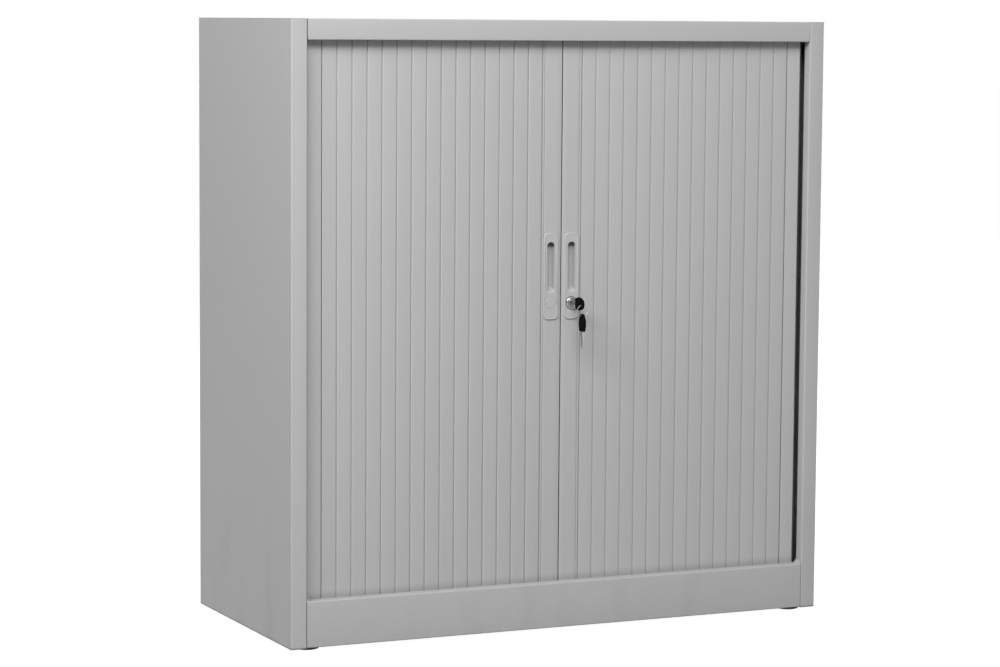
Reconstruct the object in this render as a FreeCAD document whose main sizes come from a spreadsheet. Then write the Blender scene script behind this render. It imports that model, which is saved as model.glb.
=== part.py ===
"""Roll-front tool cabinet: a sheet steel case whose two slatted roll fronts open sideways.

Millimetres. X runs along the front, Y from front to back and Z up. The origin is on the
floor, in the middle of the case. Sizes across the front are written for the right half, as
distances from the middle, and the left half is their mirror.
"""
import FreeCAD
import Part
import os
import Sketcher

doc = FreeCAD.newDocument("roll_front_cabinet")
sub_parts = []

# Driving sizes
SIZES = {
    # Steel case
    "body_width": 1000,
    "body_depth": 450,
    "body_height": 1040,
    "foot_gap": 5,
    "steel": 1,
    "stile_width": 28,
    "return_depth": 18,
    "fascia_height": 35,
    "plinth_height": 79,
    "back_flange": 20,
    "fold_radius": 2.5,
    # Roll front: slats, end slats and the track that they run in
    "lead_gap": 0.75,
    "lead_edge": 36.5,
    "lead_box_edge": 33,
    "lead_depth": 14,
    "lead_wall": 1.5,
    "curtain_setback": 21,
    "curtain_bottom": 70.5,
    "curtain_top": 1015.5,
    "curtain_gap": 1.2,
    "slat_pitch": 26.75,
    "slat_lap": 2.5,
    "slat_step": 1.9,
    "slat_skin": 1.2,
    "slat_crown": 0.3,
    "track_play": 0.5,
    "track_floor": 2,
    "track_wall": 1.2,
    "track_front": 206.5,
    "track_back": 166.2,
    "track_base": 68,
    "track_side_end": 110,
    # Inside
    "liner_offset": 465,
    "liner_gap": 1,
    "side_track": 480,
    "shelf_reach": 462,
    "shelf_front": 150,
    "shelf_back": 205,
    "shelf_depth": 25,
    "lower_shelf_top": 395,
    "upper_shelf_top": 710,
    "clip_size": 10,
    "clip_half_width": 4.5,
    "clip_inset": 25,
    "slot_spacing": 25,
    "slot_height": 12,
    "slot_width": 4,
    # Handles
    "handle_offset": 19.5,
    "handle_width": 27.5,
    "handle_bottom": 531,
    "handle_height": 148,
    "handle_radius": 9,
    "handle_proud": 2.5,
    "grip_width": 15,
    "grip_bottom": 578,
    "grip_top": 664,
    "grip_depth": 10.2,
    "grip_ramp": 24,
    "grip_run_out": 4,
    "grip_wall": 1.5,
    "window_gap": 0.3,
    # Lock and keys
    "lock_height": 559.5,
    "bezel_radius": 11,
    "bezel_proud": 4,
    "barrel_radius": 8,
    "barrel_back": 186.6,
    "plug_radius": 6.2,
    "plug_clearance": 0.05,
    "plug_proud": 0.3,
    "keyway_end": 2,
    "nut_height": 3,
    "cam_half_width": 7,
    "cam_reach": 28,
    "cam_thickness": 2,
    "cam_front": 186,
    "screw_radius": 3.5,
    "screw_height": 2.5,
    "keeper_inner": 4,
    "keeper_outer": 14,
    "keeper_half_height": 12,
    "keeper_gap": 0.6,
    "bow_length": 30.5,
    "bow_base": 16,
    "bow_tip": 17,
    "bow_shoulder": 24,
    "bow_side_radius": 26,
    "bow_end_radius": 9,
    "bow_thickness": 4,
    "bow_front": 224,
    "eye_place": 25,
    "eye_radius": 2.2,
    "shoulder_length": 9,
    "shoulder_width": 7.5,
    "blade_length": 18,
    "blade_width": 7.6,
    "blade_thickness": 1.8,
    "ring_radius": 9.6,
    "ring_wire": 0.7,
    "ring_hang": 0.9,
    # Feet
    "foot_radius": 22,
    "foot_height": 4.4,
    "foot_inset_across": 39,
    "foot_inset_along": 30,
    "stem_radius": 4,
    "stem_top": 45,
    "bracket_height": 14,
    "bracket_plate": 3,
    "bracket_size": 50,
    "bracket_gap": 0.5,
}
SLAT_COUNT = 16
CORNER_SLATS = [
    # from the opening's edge outwards, from the curtain's face back, turn in degrees
    (-5.9, 3, 52),
    (11.3, 25, 84),
    (14.3, 52.5, 90),
]
SLOT_COUNT = 34
SIDES = {"left": -1, "right": 1}

dims = doc.addObject("Spreadsheet::Sheet", "dims")
for row, (alias, size) in enumerate(SIZES.items(), start=1):
    dims.set(f"A{row}", alias)
    dims.set(f"B{row}", str(size))
    dims.setAlias(f"B{row}", alias)
doc.recompute()

# Places worked out from the driving sizes
HALF_WIDTH = "dims.body_width / 2"
HALF_DEPTH = "dims.body_depth / 2"
FRONT = "-dims.body_depth / 2"
BASE = "dims.foot_gap"
TOP = "(dims.foot_gap + dims.body_height)"
OPENING = "(dims.body_width / 2 - dims.stile_width)"
FASCIA_BOTTOM = "(dims.foot_gap + dims.body_height - dims.fascia_height)"
FLOOR_TOP = "(dims.foot_gap + dims.plinth_height)"
CURTAIN = "(-dims.body_depth / 2 + dims.curtain_setback)"
SLOPE = "dims.slat_step / dims.slat_pitch"
TRACK_BASE = "(dims.foot_gap + dims.track_base)"
TRACK_TOP = "(dims.foot_gap + dims.curtain_top + dims.track_play + dims.track_floor)"
LOCK_Z = "(dims.foot_gap + dims.lock_height)"
FIT = 0.2
OVER = 1


def value(expression):
    """The number that an expression over the sheet gives now."""
    result = dims.evalExpression(expression)
    return float(getattr(result, "Value", result))


def keep(piece, label):
    """Names a finished sub-part and puts it on the list of those that are written."""
    piece.Label = label
    sub_parts.append(piece)
    return piece


def mirrored(side, near, far):
    """The low and high X of something that reaches from near to far on one side."""
    if side > 0:
        return near, far
    return f"-({far})", f"-({near})"


def block(name, x, y, z):
    """A rectangular block between a low and a high place on each axis."""
    solid = doc.addObject("Part::Box", name)
    for size, axis, (low, high) in zip(("Length", "Width", "Height"), "xyz", (x, y, z)):
        solid.setExpression(size, f"({high}) - ({low})")
        solid.setExpression(f"Placement.Base.{axis}", low)
    return solid


def rod(name, radius, x, y, z, along):
    """A round bar along Y or Z. The place on that axis is its low and its high end."""
    solid = doc.addObject("Part::Cylinder", name)
    solid.setExpression("Radius", radius)
    ends = y if along == "y" else z
    if along == "y":
        solid.Placement.Rotation = FreeCAD.Rotation(FreeCAD.Vector(1, 0, 0), -90)
    solid.setExpression("Height", f"({ends[1]}) - ({ends[0]})")
    for axis, place in zip("xyz", (x, ends[0] if along == "y" else y, ends[0] if along == "z" else z)):
        solid.setExpression(f"Placement.Base.{axis}", place)
    return solid


def joined(name, pieces):
    """One welded or moulded piece out of several that touch."""
    fuse = doc.addObject("Part::MultiFuse", name)
    fuse.Shapes = pieces
    fuse.Refine = True
    return fuse


def grouped(name, pieces):
    """Pieces that stay separate solids of one node."""
    group = doc.addObject("Part::Compound", name)
    group.Links = pieces
    return group


def in_lengths(name, whole, heights):
    """The same piece as solids that meet end to end at the given heights."""
    lengths = []
    reach = ("-dims.body_width / 2", "dims.body_width / 2")
    for index, ends in enumerate(zip(heights, heights[1:])):
        length = doc.addObject("Part::Common", f"{name}_length_{index}")
        length.Base = whole
        length.Tool = block(f"{name}_slab_{index}", reach, reach, ends)
        lengths.append(length)
    return grouped(f"{name}_lengths", lengths)


def cut(name, base, tools):
    """A piece with the shapes of the tools taken out of it."""
    result = doc.addObject("Part::Cut", name)
    result.Base = base
    result.Tool = tools[0] if len(tools) == 1 else joined(f"{name}_tools", tools)
    return result


def body(label):
    """An empty body for a piece that is made from sketches."""
    return keep(doc.addObject("PartDesign::Body", label), label)


def sketch_on(owner, role, name):
    """A sketch on one of the body's own origin planes."""
    plane = next(f for f in owner.Origin.OriginFeatures if f.Role == role)
    sketch = owner.newObject("Sketcher::SketchObject", name)
    sketch.AttachmentSupport = (plane, [""])
    sketch.MapMode = "FlatFace"
    return sketch


def place_point(sketch, geometry, end, name, place):
    """Holds one end of an edge at a place given by two expressions."""
    for kind, axis, word, expression in zip(("DistanceX", "DistanceY"), (-2, -1), ("across", "up"), place):
        size = value(expression)
        if abs(size) < 1e-9:
            sketch.addConstraint(Sketcher.Constraint("PointOnObject", geometry, end, axis))
            continue
        index = sketch.addConstraint(Sketcher.Constraint(kind, -1, 1, geometry, end, size))
        sketch.renameConstraint(index, f"{name}_{word}")
        sketch.setExpression(f"Constraints.{name}_{word}", expression)


def outline(owner, role, name, corners, arcs=None):
    """A closed outline through corners given by expressions.

    arcs holds, for the edge that leaves a corner, a radius and +1 or -1: whether the arc's
    middle stands to the right or to the left of the straight line.
    """
    arcs = arcs or {}
    sketch = sketch_on(owner, role, name)
    points = [FreeCAD.Vector(value(across), value(up), 0) for across, up in corners]
    starts, ends = [], []
    for index, start in enumerate(points):
        end = points[(index + 1) % len(points)]
        if index not in arcs:
            geometry = sketch.addGeometry(Part.LineSegment(start, end), False)
            starts.append((geometry, 1))
            ends.append((geometry, 2))
            continue
        radius, turn = arcs[index]
        size = value(radius)
        chord = end - start
        rise = size - max(size**2 - (chord.Length / 2) ** 2, 0) ** 0.5
        right = FreeCAD.Vector(chord.y, -chord.x, 0).normalize()
        middle = (start + end) / 2 + right * rise * turn
        arc = Part.Arc(start, middle, end) if turn > 0 else Part.Arc(end, middle, start)
        geometry = sketch.addGeometry(arc, False)
        first = 1 if turn > 0 else 2
        starts.append((geometry, first))
        ends.append((geometry, 3 - first))
        limit = sketch.addConstraint(Sketcher.Constraint("Radius", geometry, size))
        sketch.renameConstraint(limit, f"arc_{index}")
        sketch.setExpression(f"Constraints.arc_{index}", radius)
    for index, place in enumerate(corners):
        sketch.addConstraint(Sketcher.Constraint("Coincident", *ends[index - 1], *starts[index]))
        place_point(sketch, *starts[index], f"corner_{index}", place)
    return sketch


def round_rectangle(width, height, radius):
    """Corners and arcs of a rectangle with round corners, from its lower middle."""
    half = f"({width}) / 2"
    inner = f"({width}) / 2 - ({radius})"
    high = f"({height}) - ({radius})"
    corners = [
        (f"-({inner})", "0"),
        (inner, "0"),
        (half, radius),
        (half, high),
        (inner, height),
        (f"-({inner})", height),
        (f"-({half})", high),
        (f"-({half})", radius),
    ]
    return corners, {index: (radius, 1) for index in (1, 3, 5, 7)}


def circle(owner, role, name, across, up, radius):
    """A round outline."""
    sketch = sketch_on(owner, role, name)
    centre = FreeCAD.Vector(value(across), value(up), 0)
    geometry = sketch.addGeometry(Part.Circle(centre, FreeCAD.Vector(0, 0, 1), value(radius)), False)
    place_point(sketch, geometry, 3, "centre", (across, up))
    limit = sketch.addConstraint(Sketcher.Constraint("Radius", geometry, value(radius)))
    sketch.renameConstraint(limit, "radius")
    sketch.setExpression("Constraints.radius", radius)
    return sketch


def pad(owner, sketch, length, back=False, both_ways=False):
    """Thickens an outline. both_ways puts half of the length on each side of its plane."""
    feature = owner.newObject("PartDesign::Pad", f"{sketch.Name}_pad")
    feature.Profile = sketch
    feature.setExpression("Length", length)
    feature.Reversed = back
    feature.Midplane = both_ways
    return feature


def pocket(owner, sketch, length):
    """Cuts an outline out, half of the length on each side of its plane."""
    feature = owner.newObject("PartDesign::Pocket", f"{sketch.Name}_pocket")
    feature.Profile = sketch
    feature.setExpression("Length", length)
    feature.Midplane = True
    return feature


def move_to(piece, x="0", y="0", z="0"):
    """Puts a piece at a place given by expressions."""
    for axis, place in zip("xyz", (x, y, z)):
        piece.setExpression(f"Placement.Base.{axis}", place)


def upright_folds(owner, feature, radius, corners):
    """Rounds the upright edges of a folded sheet that stand at the given corners."""
    doc.recompute()
    names = []
    for index, edge in enumerate(feature.Shape.Edges, start=1):
        middle = edge.CenterOfMass
        upright = abs(edge.BoundBox.ZLength - edge.Length) < 1e-6
        if upright and any(abs(middle.x - x) + abs(middle.y - y) < 1e-3 for x, y in corners):
            names.append(f"Edge{index}")
    fillet = owner.newObject("PartDesign::Fillet", f"{owner.Name}_folds")
    fillet.Base = (feature, names)
    fillet.setExpression("Radius", radius)
    return fillet


def side_panel(name, side):
    """Side of the case: one folded sheet with the front stile, its return and a back flange."""
    piece = body(f"{name}_side_panel")
    stile_inner = f"({OPENING} + dims.steel)"
    skin = f"({HALF_WIDTH} - dims.steel)"
    return_back = f"({FRONT} + dims.return_depth)"
    flange_back = f"({HALF_DEPTH} - dims.steel)"
    flange_edge = f"({HALF_WIDTH} - dims.back_flange)"
    profile = [
        (OPENING, return_back),
        (OPENING, FRONT),
        (HALF_WIDTH, FRONT),
        (HALF_WIDTH, flange_back),
        (flange_edge, flange_back),
        (flange_edge, f"{flange_back} - dims.steel"),
        (skin, f"{flange_back} - dims.steel"),
        (skin, f"{FRONT} + dims.steel"),
        (stile_inner, f"{FRONT} + dims.steel"),
        (stile_inner, return_back),
    ]
    corners = [(f"{side} * {across}", up) for across, up in profile]
    sheet = pad(
        piece,
        outline(piece, "XY_Plane", f"{name}_side_profile", corners),
        "dims.body_height - dims.steel",
    )
    outer = [(side * value(HALF_WIDTH), value(FRONT)), (side * value(OPENING), value(FRONT))]
    upright_folds(piece, sheet, "dims.fold_radius / 2 + dims.steel / 4", outer)
    move_to(piece, z=BASE)


def corner_run(name, side, z):
    """Flat turn of a track round one front corner, and its run back along the side."""
    reach = f"({OPENING} - {FIT})"
    skin = f"({HALF_WIDTH} - dims.steel - {FIT})"
    back = "-dims.track_back"
    return [
        block(f"{name}_turn", mirrored(side, reach, skin), ("-dims.track_front", back), z),
        block(f"{name}_run", mirrored(side, "dims.side_track", skin), (back, "-dims.track_side_end"), z),
    ]


def top_panel():
    """Lid of the case, folded down into the fascia and back under it to carry the upper track."""
    fascia = f"({OPENING} - {FIT})"
    web = f"({FRONT} + dims.return_depth)"
    track_back = "-dims.track_back"
    pieces = [
        block("lid", (f"-{HALF_WIDTH}", HALF_WIDTH), (FRONT, HALF_DEPTH), (f"{TOP} - dims.steel", TOP)),
        block(
            "fascia",
            (f"-{fascia}", fascia),
            (FRONT, f"{FRONT} + dims.steel"),
            (FASCIA_BOTTOM, f"{TOP} - dims.steel"),
        ),
        block(
            "fascia_return",
            (f"-{fascia}", fascia),
            (f"{FRONT} + dims.steel", web),
            (FASCIA_BOTTOM, f"{FASCIA_BOTTOM} + dims.steel"),
        ),
        block(
            "fascia_web",
            (f"-{fascia}", fascia),
            (f"{web} - dims.steel", web),
            (f"{FASCIA_BOTTOM} + dims.steel", f"{TOP} - dims.steel"),
        ),
        block(
            "track_roof",
            (f"-{fascia}", fascia),
            (web, track_back),
            (TRACK_TOP, f"{TRACK_TOP} + dims.steel"),
        ),
    ]
    for name, side in SIDES.items():
        pieces += corner_run(f"{name}_roof", side, (TRACK_TOP, f"{TRACK_TOP} + dims.steel"))
    keep(joined("top_sheet", pieces), "top_panel")


def plinth():
    """Kick plate under the roll fronts, with its top and bottom flanges."""
    reach = f"({OPENING} - {FIT})"
    x = (f"-{reach}", reach)
    behind = f"{FRONT} + dims.steel"
    bottom = f"({BASE} + dims.steel)"
    top_flange = (behind, f"{CURTAIN} - dims.curtain_gap")
    foot_flange = (behind, f"{behind} + dims.back_flange")
    pieces = [
        block("plinth_face", x, (FRONT, behind), (bottom, FLOOR_TOP)),
        block("plinth_top", x, top_flange, (f"{FLOOR_TOP} - dims.steel", FLOOR_TOP)),
        block("plinth_foot", x, foot_flange, (bottom, f"{bottom} + dims.steel")),
    ]
    keep(joined("plinth_sheet", pieces), "plinth")


def base_pan():
    """Floor of the case, stepped down at the front and the sides to carry the lower track."""
    step = f"({TRACK_BASE} - dims.steel)"
    floor = ("dims.side_track", f"{FLOOR_TOP} - dims.steel")
    back = f"{HALF_DEPTH} - 2 * dims.steel"
    step_back = "-dims.track_back"
    reach = f"({OPENING} - {FIT})"
    pieces = [
        block(
            "cabinet_floor",
            (f"-{floor[0]}", floor[0]),
            (step_back, back),
            (floor[1], FLOOR_TOP),
        ),
        block(
            "front_riser",
            (f"-{floor[0]}", floor[0]),
            (step_back, f"{step_back} + dims.steel"),
            (step, floor[1]),
        ),
        block("front_tray", (f"-{reach}", reach), ("-dims.track_front", step_back), (step, TRACK_BASE)),
    ]
    for name, side in SIDES.items():
        pieces.append(
            block(
                f"{name}_riser",
                mirrored(side, "dims.side_track - dims.steel", "dims.side_track"),
                (step_back, back),
                (step, floor[1]),
            )
        )
        pieces.append(
            block(
                f"{name}_tray",
                mirrored(side, reach, f"{HALF_WIDTH} - dims.steel - {FIT}"),
                ("-dims.track_front", step_back),
                (step, TRACK_BASE),
            )
        )
        pieces.append(
            block(
                f"{name}_back_tray",
                mirrored(side, "dims.side_track - dims.steel", f"{HALF_WIDTH} - dims.steel - {FIT}"),
                (step_back, back),
                (step, TRACK_BASE),
            )
        )
    keep(joined("base_sheet", pieces), "base_pan")


def back_panel():
    """Flat sheet that closes the back."""
    sheet = block(
        "back_sheet",
        (f"-{HALF_WIDTH}", HALF_WIDTH),
        (f"{HALF_DEPTH} - dims.steel", HALF_DEPTH),
        (BASE, f"{TOP} - dims.steel"),
    )
    keep(sheet, "back_panel")


def liner(name, side):
    """Inner side wall that hides the rolled-back slats, with a ladder of slots for the clips."""
    piece = body(f"{name}_liner")
    wall = "dims.liner_offset"
    edge = f"({wall} + dims.steel)"
    lip = "(dims.side_track - dims.steel - dims.liner_gap)"
    front = "-dims.track_back"
    back = f"({HALF_DEPTH} - 3 * dims.steel)"
    profile = [
        (wall, front),
        (lip, front),
        (lip, f"{front} + dims.steel"),
        (edge, f"{front} + dims.steel"),
        (edge, f"{back} - dims.steel"),
        (lip, f"{back} - dims.steel"),
        (lip, back),
        (wall, back),
    ]
    corners = [(f"{side} * {across}", up) for across, up in profile]
    sheet = pad(
        piece,
        outline(piece, "XY_Plane", f"{name}_liner_profile", corners),
        f"{TOP} - dims.steel - {FLOOR_TOP}",
    )
    doc.recompute()
    whole = sheet.Shape.Volume
    for place, across in (
        ("front", "-dims.shelf_front + dims.clip_inset"),
        ("back", "dims.shelf_back - dims.clip_inset"),
    ):
        width = "dims.slot_width / 2"
        low = "dims.slot_spacing * 2"
        slot = outline(
            piece,
            "YZ_Plane",
            f"{name}_{place}_slot",
            [
                (f"{across} - {width}", low),
                (f"{across} + {width}", low),
                (f"{across} + {width}", f"{low} + dims.slot_height"),
                (f"{across} - {width}", f"{low} + dims.slot_height"),
            ],
        )
        hole = pocket(piece, slot, f"2 * ({edge}) + {2 * OVER}")
        ladder = piece.newObject("PartDesign::LinearPattern", f"{name}_{place}_ladder")
        ladder.Originals = [hole]
        ladder.Direction = (slot, ["V_Axis"])
        ladder.setExpression("Length", f"{SLOT_COUNT - 1} * dims.slot_spacing")
        ladder.Occurrences = SLOT_COUNT
        piece.Tip = ladder
    doc.recompute()
    if piece.Shape.Volume >= whole:
        raise RuntimeError(f"the slots of {piece.Label} cut nothing")
    move_to(piece, z=FLOOR_TOP)


def track(label, floor, wall):
    """Plastic channel that the ends of the slats run in, with a side run round each corner."""
    front = "-dims.track_front"
    back = "-dims.track_back"
    reach = f"({OPENING} - {FIT})"
    x = (f"-{reach}", reach)
    back_wall = (f"{back} - dims.track_wall", back)
    pieces = [
        block(f"{label}_floor", x, (front, back), floor),
        block(f"{label}_front", x, (front, f"{front} + dims.track_wall"), wall),
        block(f"{label}_back", ("-dims.liner_offset", "dims.liner_offset"), back_wall, wall),
    ]
    for name, side in SIDES.items():
        pieces += corner_run(f"{label}_{name}", side, floor)
    keep(joined(f"{label}_channel", pieces), label)


def tracks():
    """The lower and the upper track."""
    low = (TRACK_BASE, f"{TRACK_BASE} + dims.track_floor")
    track("lower_track", low, (low[1], f"{FLOOR_TOP} - dims.steel - dims.track_play"))
    high = (f"{TRACK_TOP} - dims.track_floor", TRACK_TOP)
    track("upper_track", high, (f"{FASCIA_BOTTOM} + dims.steel + dims.track_play", high[0]))


def roll_front_slat(name, side, number):
    """One moulded slat. Its outer edge stands in front of the next slat's inner edge."""
    piece = body(f"{name}_slat_{number:02d}")
    outer = "dims.lead_edge + dims.slat_pitch"
    inner = "dims.lead_edge - dims.slat_lap"
    sink = f"({CURTAIN} + (dims.slat_pitch + dims.slat_lap) * {SLOPE})"
    chord = "(dims.slat_pitch + dims.slat_lap)"
    corners = [
        (f"{side} * ({inner})", sink),
        (f"{side} * ({outer})", CURTAIN),
        (f"{side} * ({outer})", f"{CURTAIN} + dims.slat_skin"),
        (f"{side} * ({inner})", f"{sink} + dims.slat_skin"),
    ]
    crown = f"{chord} ^ 2 / (8 * dims.slat_crown)"
    profile = outline(
        piece, "XY_Plane", f"{name}_slat_{number:02d}_profile", corners, {0: (crown, side)}
    )
    pad(piece, profile, "dims.curtain_top - dims.curtain_bottom")
    move_to(piece, x=f"{side * (number - 1)} * dims.slat_pitch", z=f"{BASE} + dims.curtain_bottom")


def corner_slats():
    """The last slats, which have already turned the corner when the roll front is shut."""
    length = "dims.slat_pitch"
    slats = []
    for name, side in SIDES.items():
        for index, (outwards, behind, turn) in enumerate(CORNER_SLATS):
            slat = doc.addObject("Part::Box", f"{name}_corner_{index}")
            slat.setExpression("Length", length)
            slat.setExpression("Width", "dims.slat_skin")
            slat.setExpression("Height", f"{TRACK_TOP} - {TRACK_BASE} - 2 * dims.track_floor")
            slat.Placement.Rotation = FreeCAD.Rotation(FreeCAD.Vector(0, 0, 1), side * turn)
            start = f"({OPENING} + {outwards})"
            behind_face = f"({CURTAIN} + {behind})"
            if side < 0:
                start = f"({OPENING} + {outwards} + {length} * cos({turn} deg))"
                behind_face = f"({CURTAIN} + {behind} + {length} * sin({turn} deg))"
            move_to(slat, f"{side} * {start}", behind_face, f"{TRACK_BASE} + dims.track_floor")
            slats.append(slat)
    keep(grouped("corner_slat_group", slats), "corner_slats")


def lead_slat(name, side):
    """Stiff box section at the meeting edge, with the window for the grip.

    It is drawn in three lengths, and the middle one lies behind the grip plate.
    """
    back = f"({CURTAIN} + dims.lead_depth)"
    wall = "dims.lead_wall"
    z = (f"{BASE} + dims.curtain_bottom", f"{BASE} + dims.curtain_top")
    reach = mirrored(side, "dims.lead_gap", "dims.lead_box_edge")
    box = block(f"{name}_lead_box", reach, (CURTAIN, back), z)
    lip = block(
        f"{name}_lead_lip",
        mirrored(side, "dims.lead_box_edge", "dims.lead_edge"),
        (CURTAIN, f"{CURTAIN} + dims.slat_skin"),
        z,
    )
    hollow = block(
        f"{name}_lead_hollow",
        mirrored(side, f"dims.lead_gap + {wall}", f"dims.lead_box_edge - {wall}"),
        (f"{CURTAIN} + {wall}", f"{back} - {wall}"),
        (f"{z[0]} - {OVER}", f"{z[1]} + {OVER}"),
    )
    cup = "(dims.grip_width / 2 + dims.grip_wall + dims.window_gap)"
    window = block(
        f"{name}_window",
        mirrored(side, f"dims.handle_offset - {cup}", f"dims.handle_offset + {cup}"),
        (f"{CURTAIN} - {OVER}", f"{CURTAIN} + {wall} + {OVER}"),
        (
            f"{BASE} + dims.grip_bottom - dims.grip_wall - dims.window_gap",
            f"{BASE} + dims.grip_top + dims.grip_wall + dims.window_gap",
        ),
    )
    pieces = [box, lip]
    tools = [hollow, window]
    if name == "right":
        hole = rod(
            "lock_hole",
            f"dims.barrel_radius + {FIT}",
            "dims.handle_offset",
            (f"{CURTAIN} - {OVER}", f"{back} + {OVER}"),
            LOCK_Z,
            "y",
        )
        tools.append(hole)
    else:
        keeper = block(
            "keeper",
            mirrored(side, "dims.keeper_inner", "dims.keeper_outer"),
            (back, "-dims.cam_front - dims.keeper_gap"),
            (f"{LOCK_Z} - dims.keeper_half_height", f"{LOCK_Z} + dims.keeper_half_height"),
        )
        pieces.append(keeper)
    whole = cut(f"{name}_lead", joined(f"{name}_lead_outer", pieces), tools)
    plate_low = f"{BASE} + dims.handle_bottom"
    heights = (z[0], plate_low, f"{plate_low} + dims.handle_height", z[1])
    keep(in_lengths(f"{name}_lead", whole, heights), f"{name}_lead_slat")


def handle_plate(name, side):
    """Moulded plate on the end slat, with a sunk finger grip that ramps out at its foot."""
    piece = body(f"{name}_handle_plate")
    plate = outline(
        piece,
        "XZ_Plane",
        f"{name}_plate_outline",
        *round_rectangle("dims.handle_width", "dims.handle_height", "dims.handle_radius"),
    )
    pad(piece, plate, "dims.handle_proud")
    low = "(dims.grip_bottom - dims.handle_bottom)"
    high = "(dims.grip_top - dims.handle_bottom)"
    deep = "dims.grip_depth"
    wall = "dims.grip_wall"
    cup = outline(
        piece,
        "YZ_Plane",
        f"{name}_cup_outline",
        [
            ("0", f"{low} - {wall}"),
            (f"{deep} + {wall}", f"{low} + dims.grip_ramp - {wall}"),
            (f"{deep} + {wall}", f"{high} + {wall}"),
            ("0", f"{high} + {wall}"),
        ],
    )
    pad(piece, cup, f"dims.grip_width + 2 * {wall}", both_ways=True)
    proud = f"-dims.handle_proud - {OVER}"
    grip = outline(
        piece,
        "YZ_Plane",
        f"{name}_grip_outline",
        [
            (proud, f"{low} - dims.grip_run_out"),
            (deep, f"{low} + dims.grip_ramp"),
            (deep, high),
            (proud, high),
        ],
    )
    pocket(piece, grip, "dims.grip_width")
    if name == "right":
        lock_place = "(dims.lock_height - dims.handle_bottom)"
        radius = f"dims.barrel_radius + {FIT}"
        hole = circle(piece, "XZ_Plane", "plate_lock_hole", "0", lock_place, radius)
        pocket(piece, hole, "4 * dims.handle_proud")
    move_to(piece, f"{side} * dims.handle_offset", CURTAIN, f"{BASE} + dims.handle_bottom")


def lock():
    """Cylinder lock in the right plate: barrel with its bezel and nut, turning plug, and cam."""
    centre = "dims.handle_offset"
    face = f"({CURTAIN} - dims.handle_proud)"
    nose = f"({face} - dims.bezel_proud)"
    barrel_end = "-dims.barrel_back"
    nut_front = f"({CURTAIN} + dims.lead_depth)"
    nut_ends = (nut_front, f"{nut_front} + dims.nut_height")
    barrel = joined(
        "lock_barrel_outer",
        [
            rod("bezel", "dims.bezel_radius", centre, (nose, face), LOCK_Z, "y"),
            rod("barrel", "dims.barrel_radius", centre, (face, barrel_end), LOCK_Z, "y"),
            rod("nut", "dims.bezel_radius", centre, nut_ends, LOCK_Z, "y"),
        ],
    )
    bore_radius = "dims.plug_radius + dims.plug_clearance"
    bore_ends = (f"{nose} - {OVER}", f"{barrel_end} + {OVER}")
    bore = rod("barrel_bore", bore_radius, centre, bore_ends, LOCK_Z, "y")
    keep(cut("lock_barrel_bored", barrel, [bore]), "lock_barrel")

    plug_ends = (f"{nose} - dims.plug_proud", "-dims.cam_front")
    plug = rod("plug", "dims.plug_radius", centre, plug_ends, LOCK_Z, "y")
    keyway = block(
        "keyway",
        (f"{centre} - dims.blade_thickness / 2 - {FIT}", f"{centre} + dims.blade_thickness / 2 + {FIT}"),
        (
            f"{nose} - {OVER}",
            "-dims.bow_front + dims.shoulder_length + dims.blade_length + dims.keyway_end",
        ),
        (f"{LOCK_Z} - dims.blade_width / 2 - {FIT}", f"{LOCK_Z} + dims.blade_width / 2 + {FIT}"),
    )
    keep(cut("plug_slotted", plug, [keyway]), "lock_plug")

    half = "dims.cam_half_width"
    cam_back = "-dims.cam_front + dims.cam_thickness"
    arm = block(
        "cam_arm",
        (f"{centre} - {half}", f"{centre} + {half}"),
        ("-dims.cam_front", cam_back),
        (f"{LOCK_Z} - dims.cam_reach", LOCK_Z),
    )
    hub = rod("cam_hub", half, centre, ("-dims.cam_front", cam_back), LOCK_Z, "y")
    screw_ends = (cam_back, f"{cam_back} + dims.screw_height")
    screw = rod("cam_screw", "dims.screw_radius", centre, screw_ends, LOCK_Z, "y")
    keep(joined("cam_with_screw", [arm, hub, screw]), "lock_cam")


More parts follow.
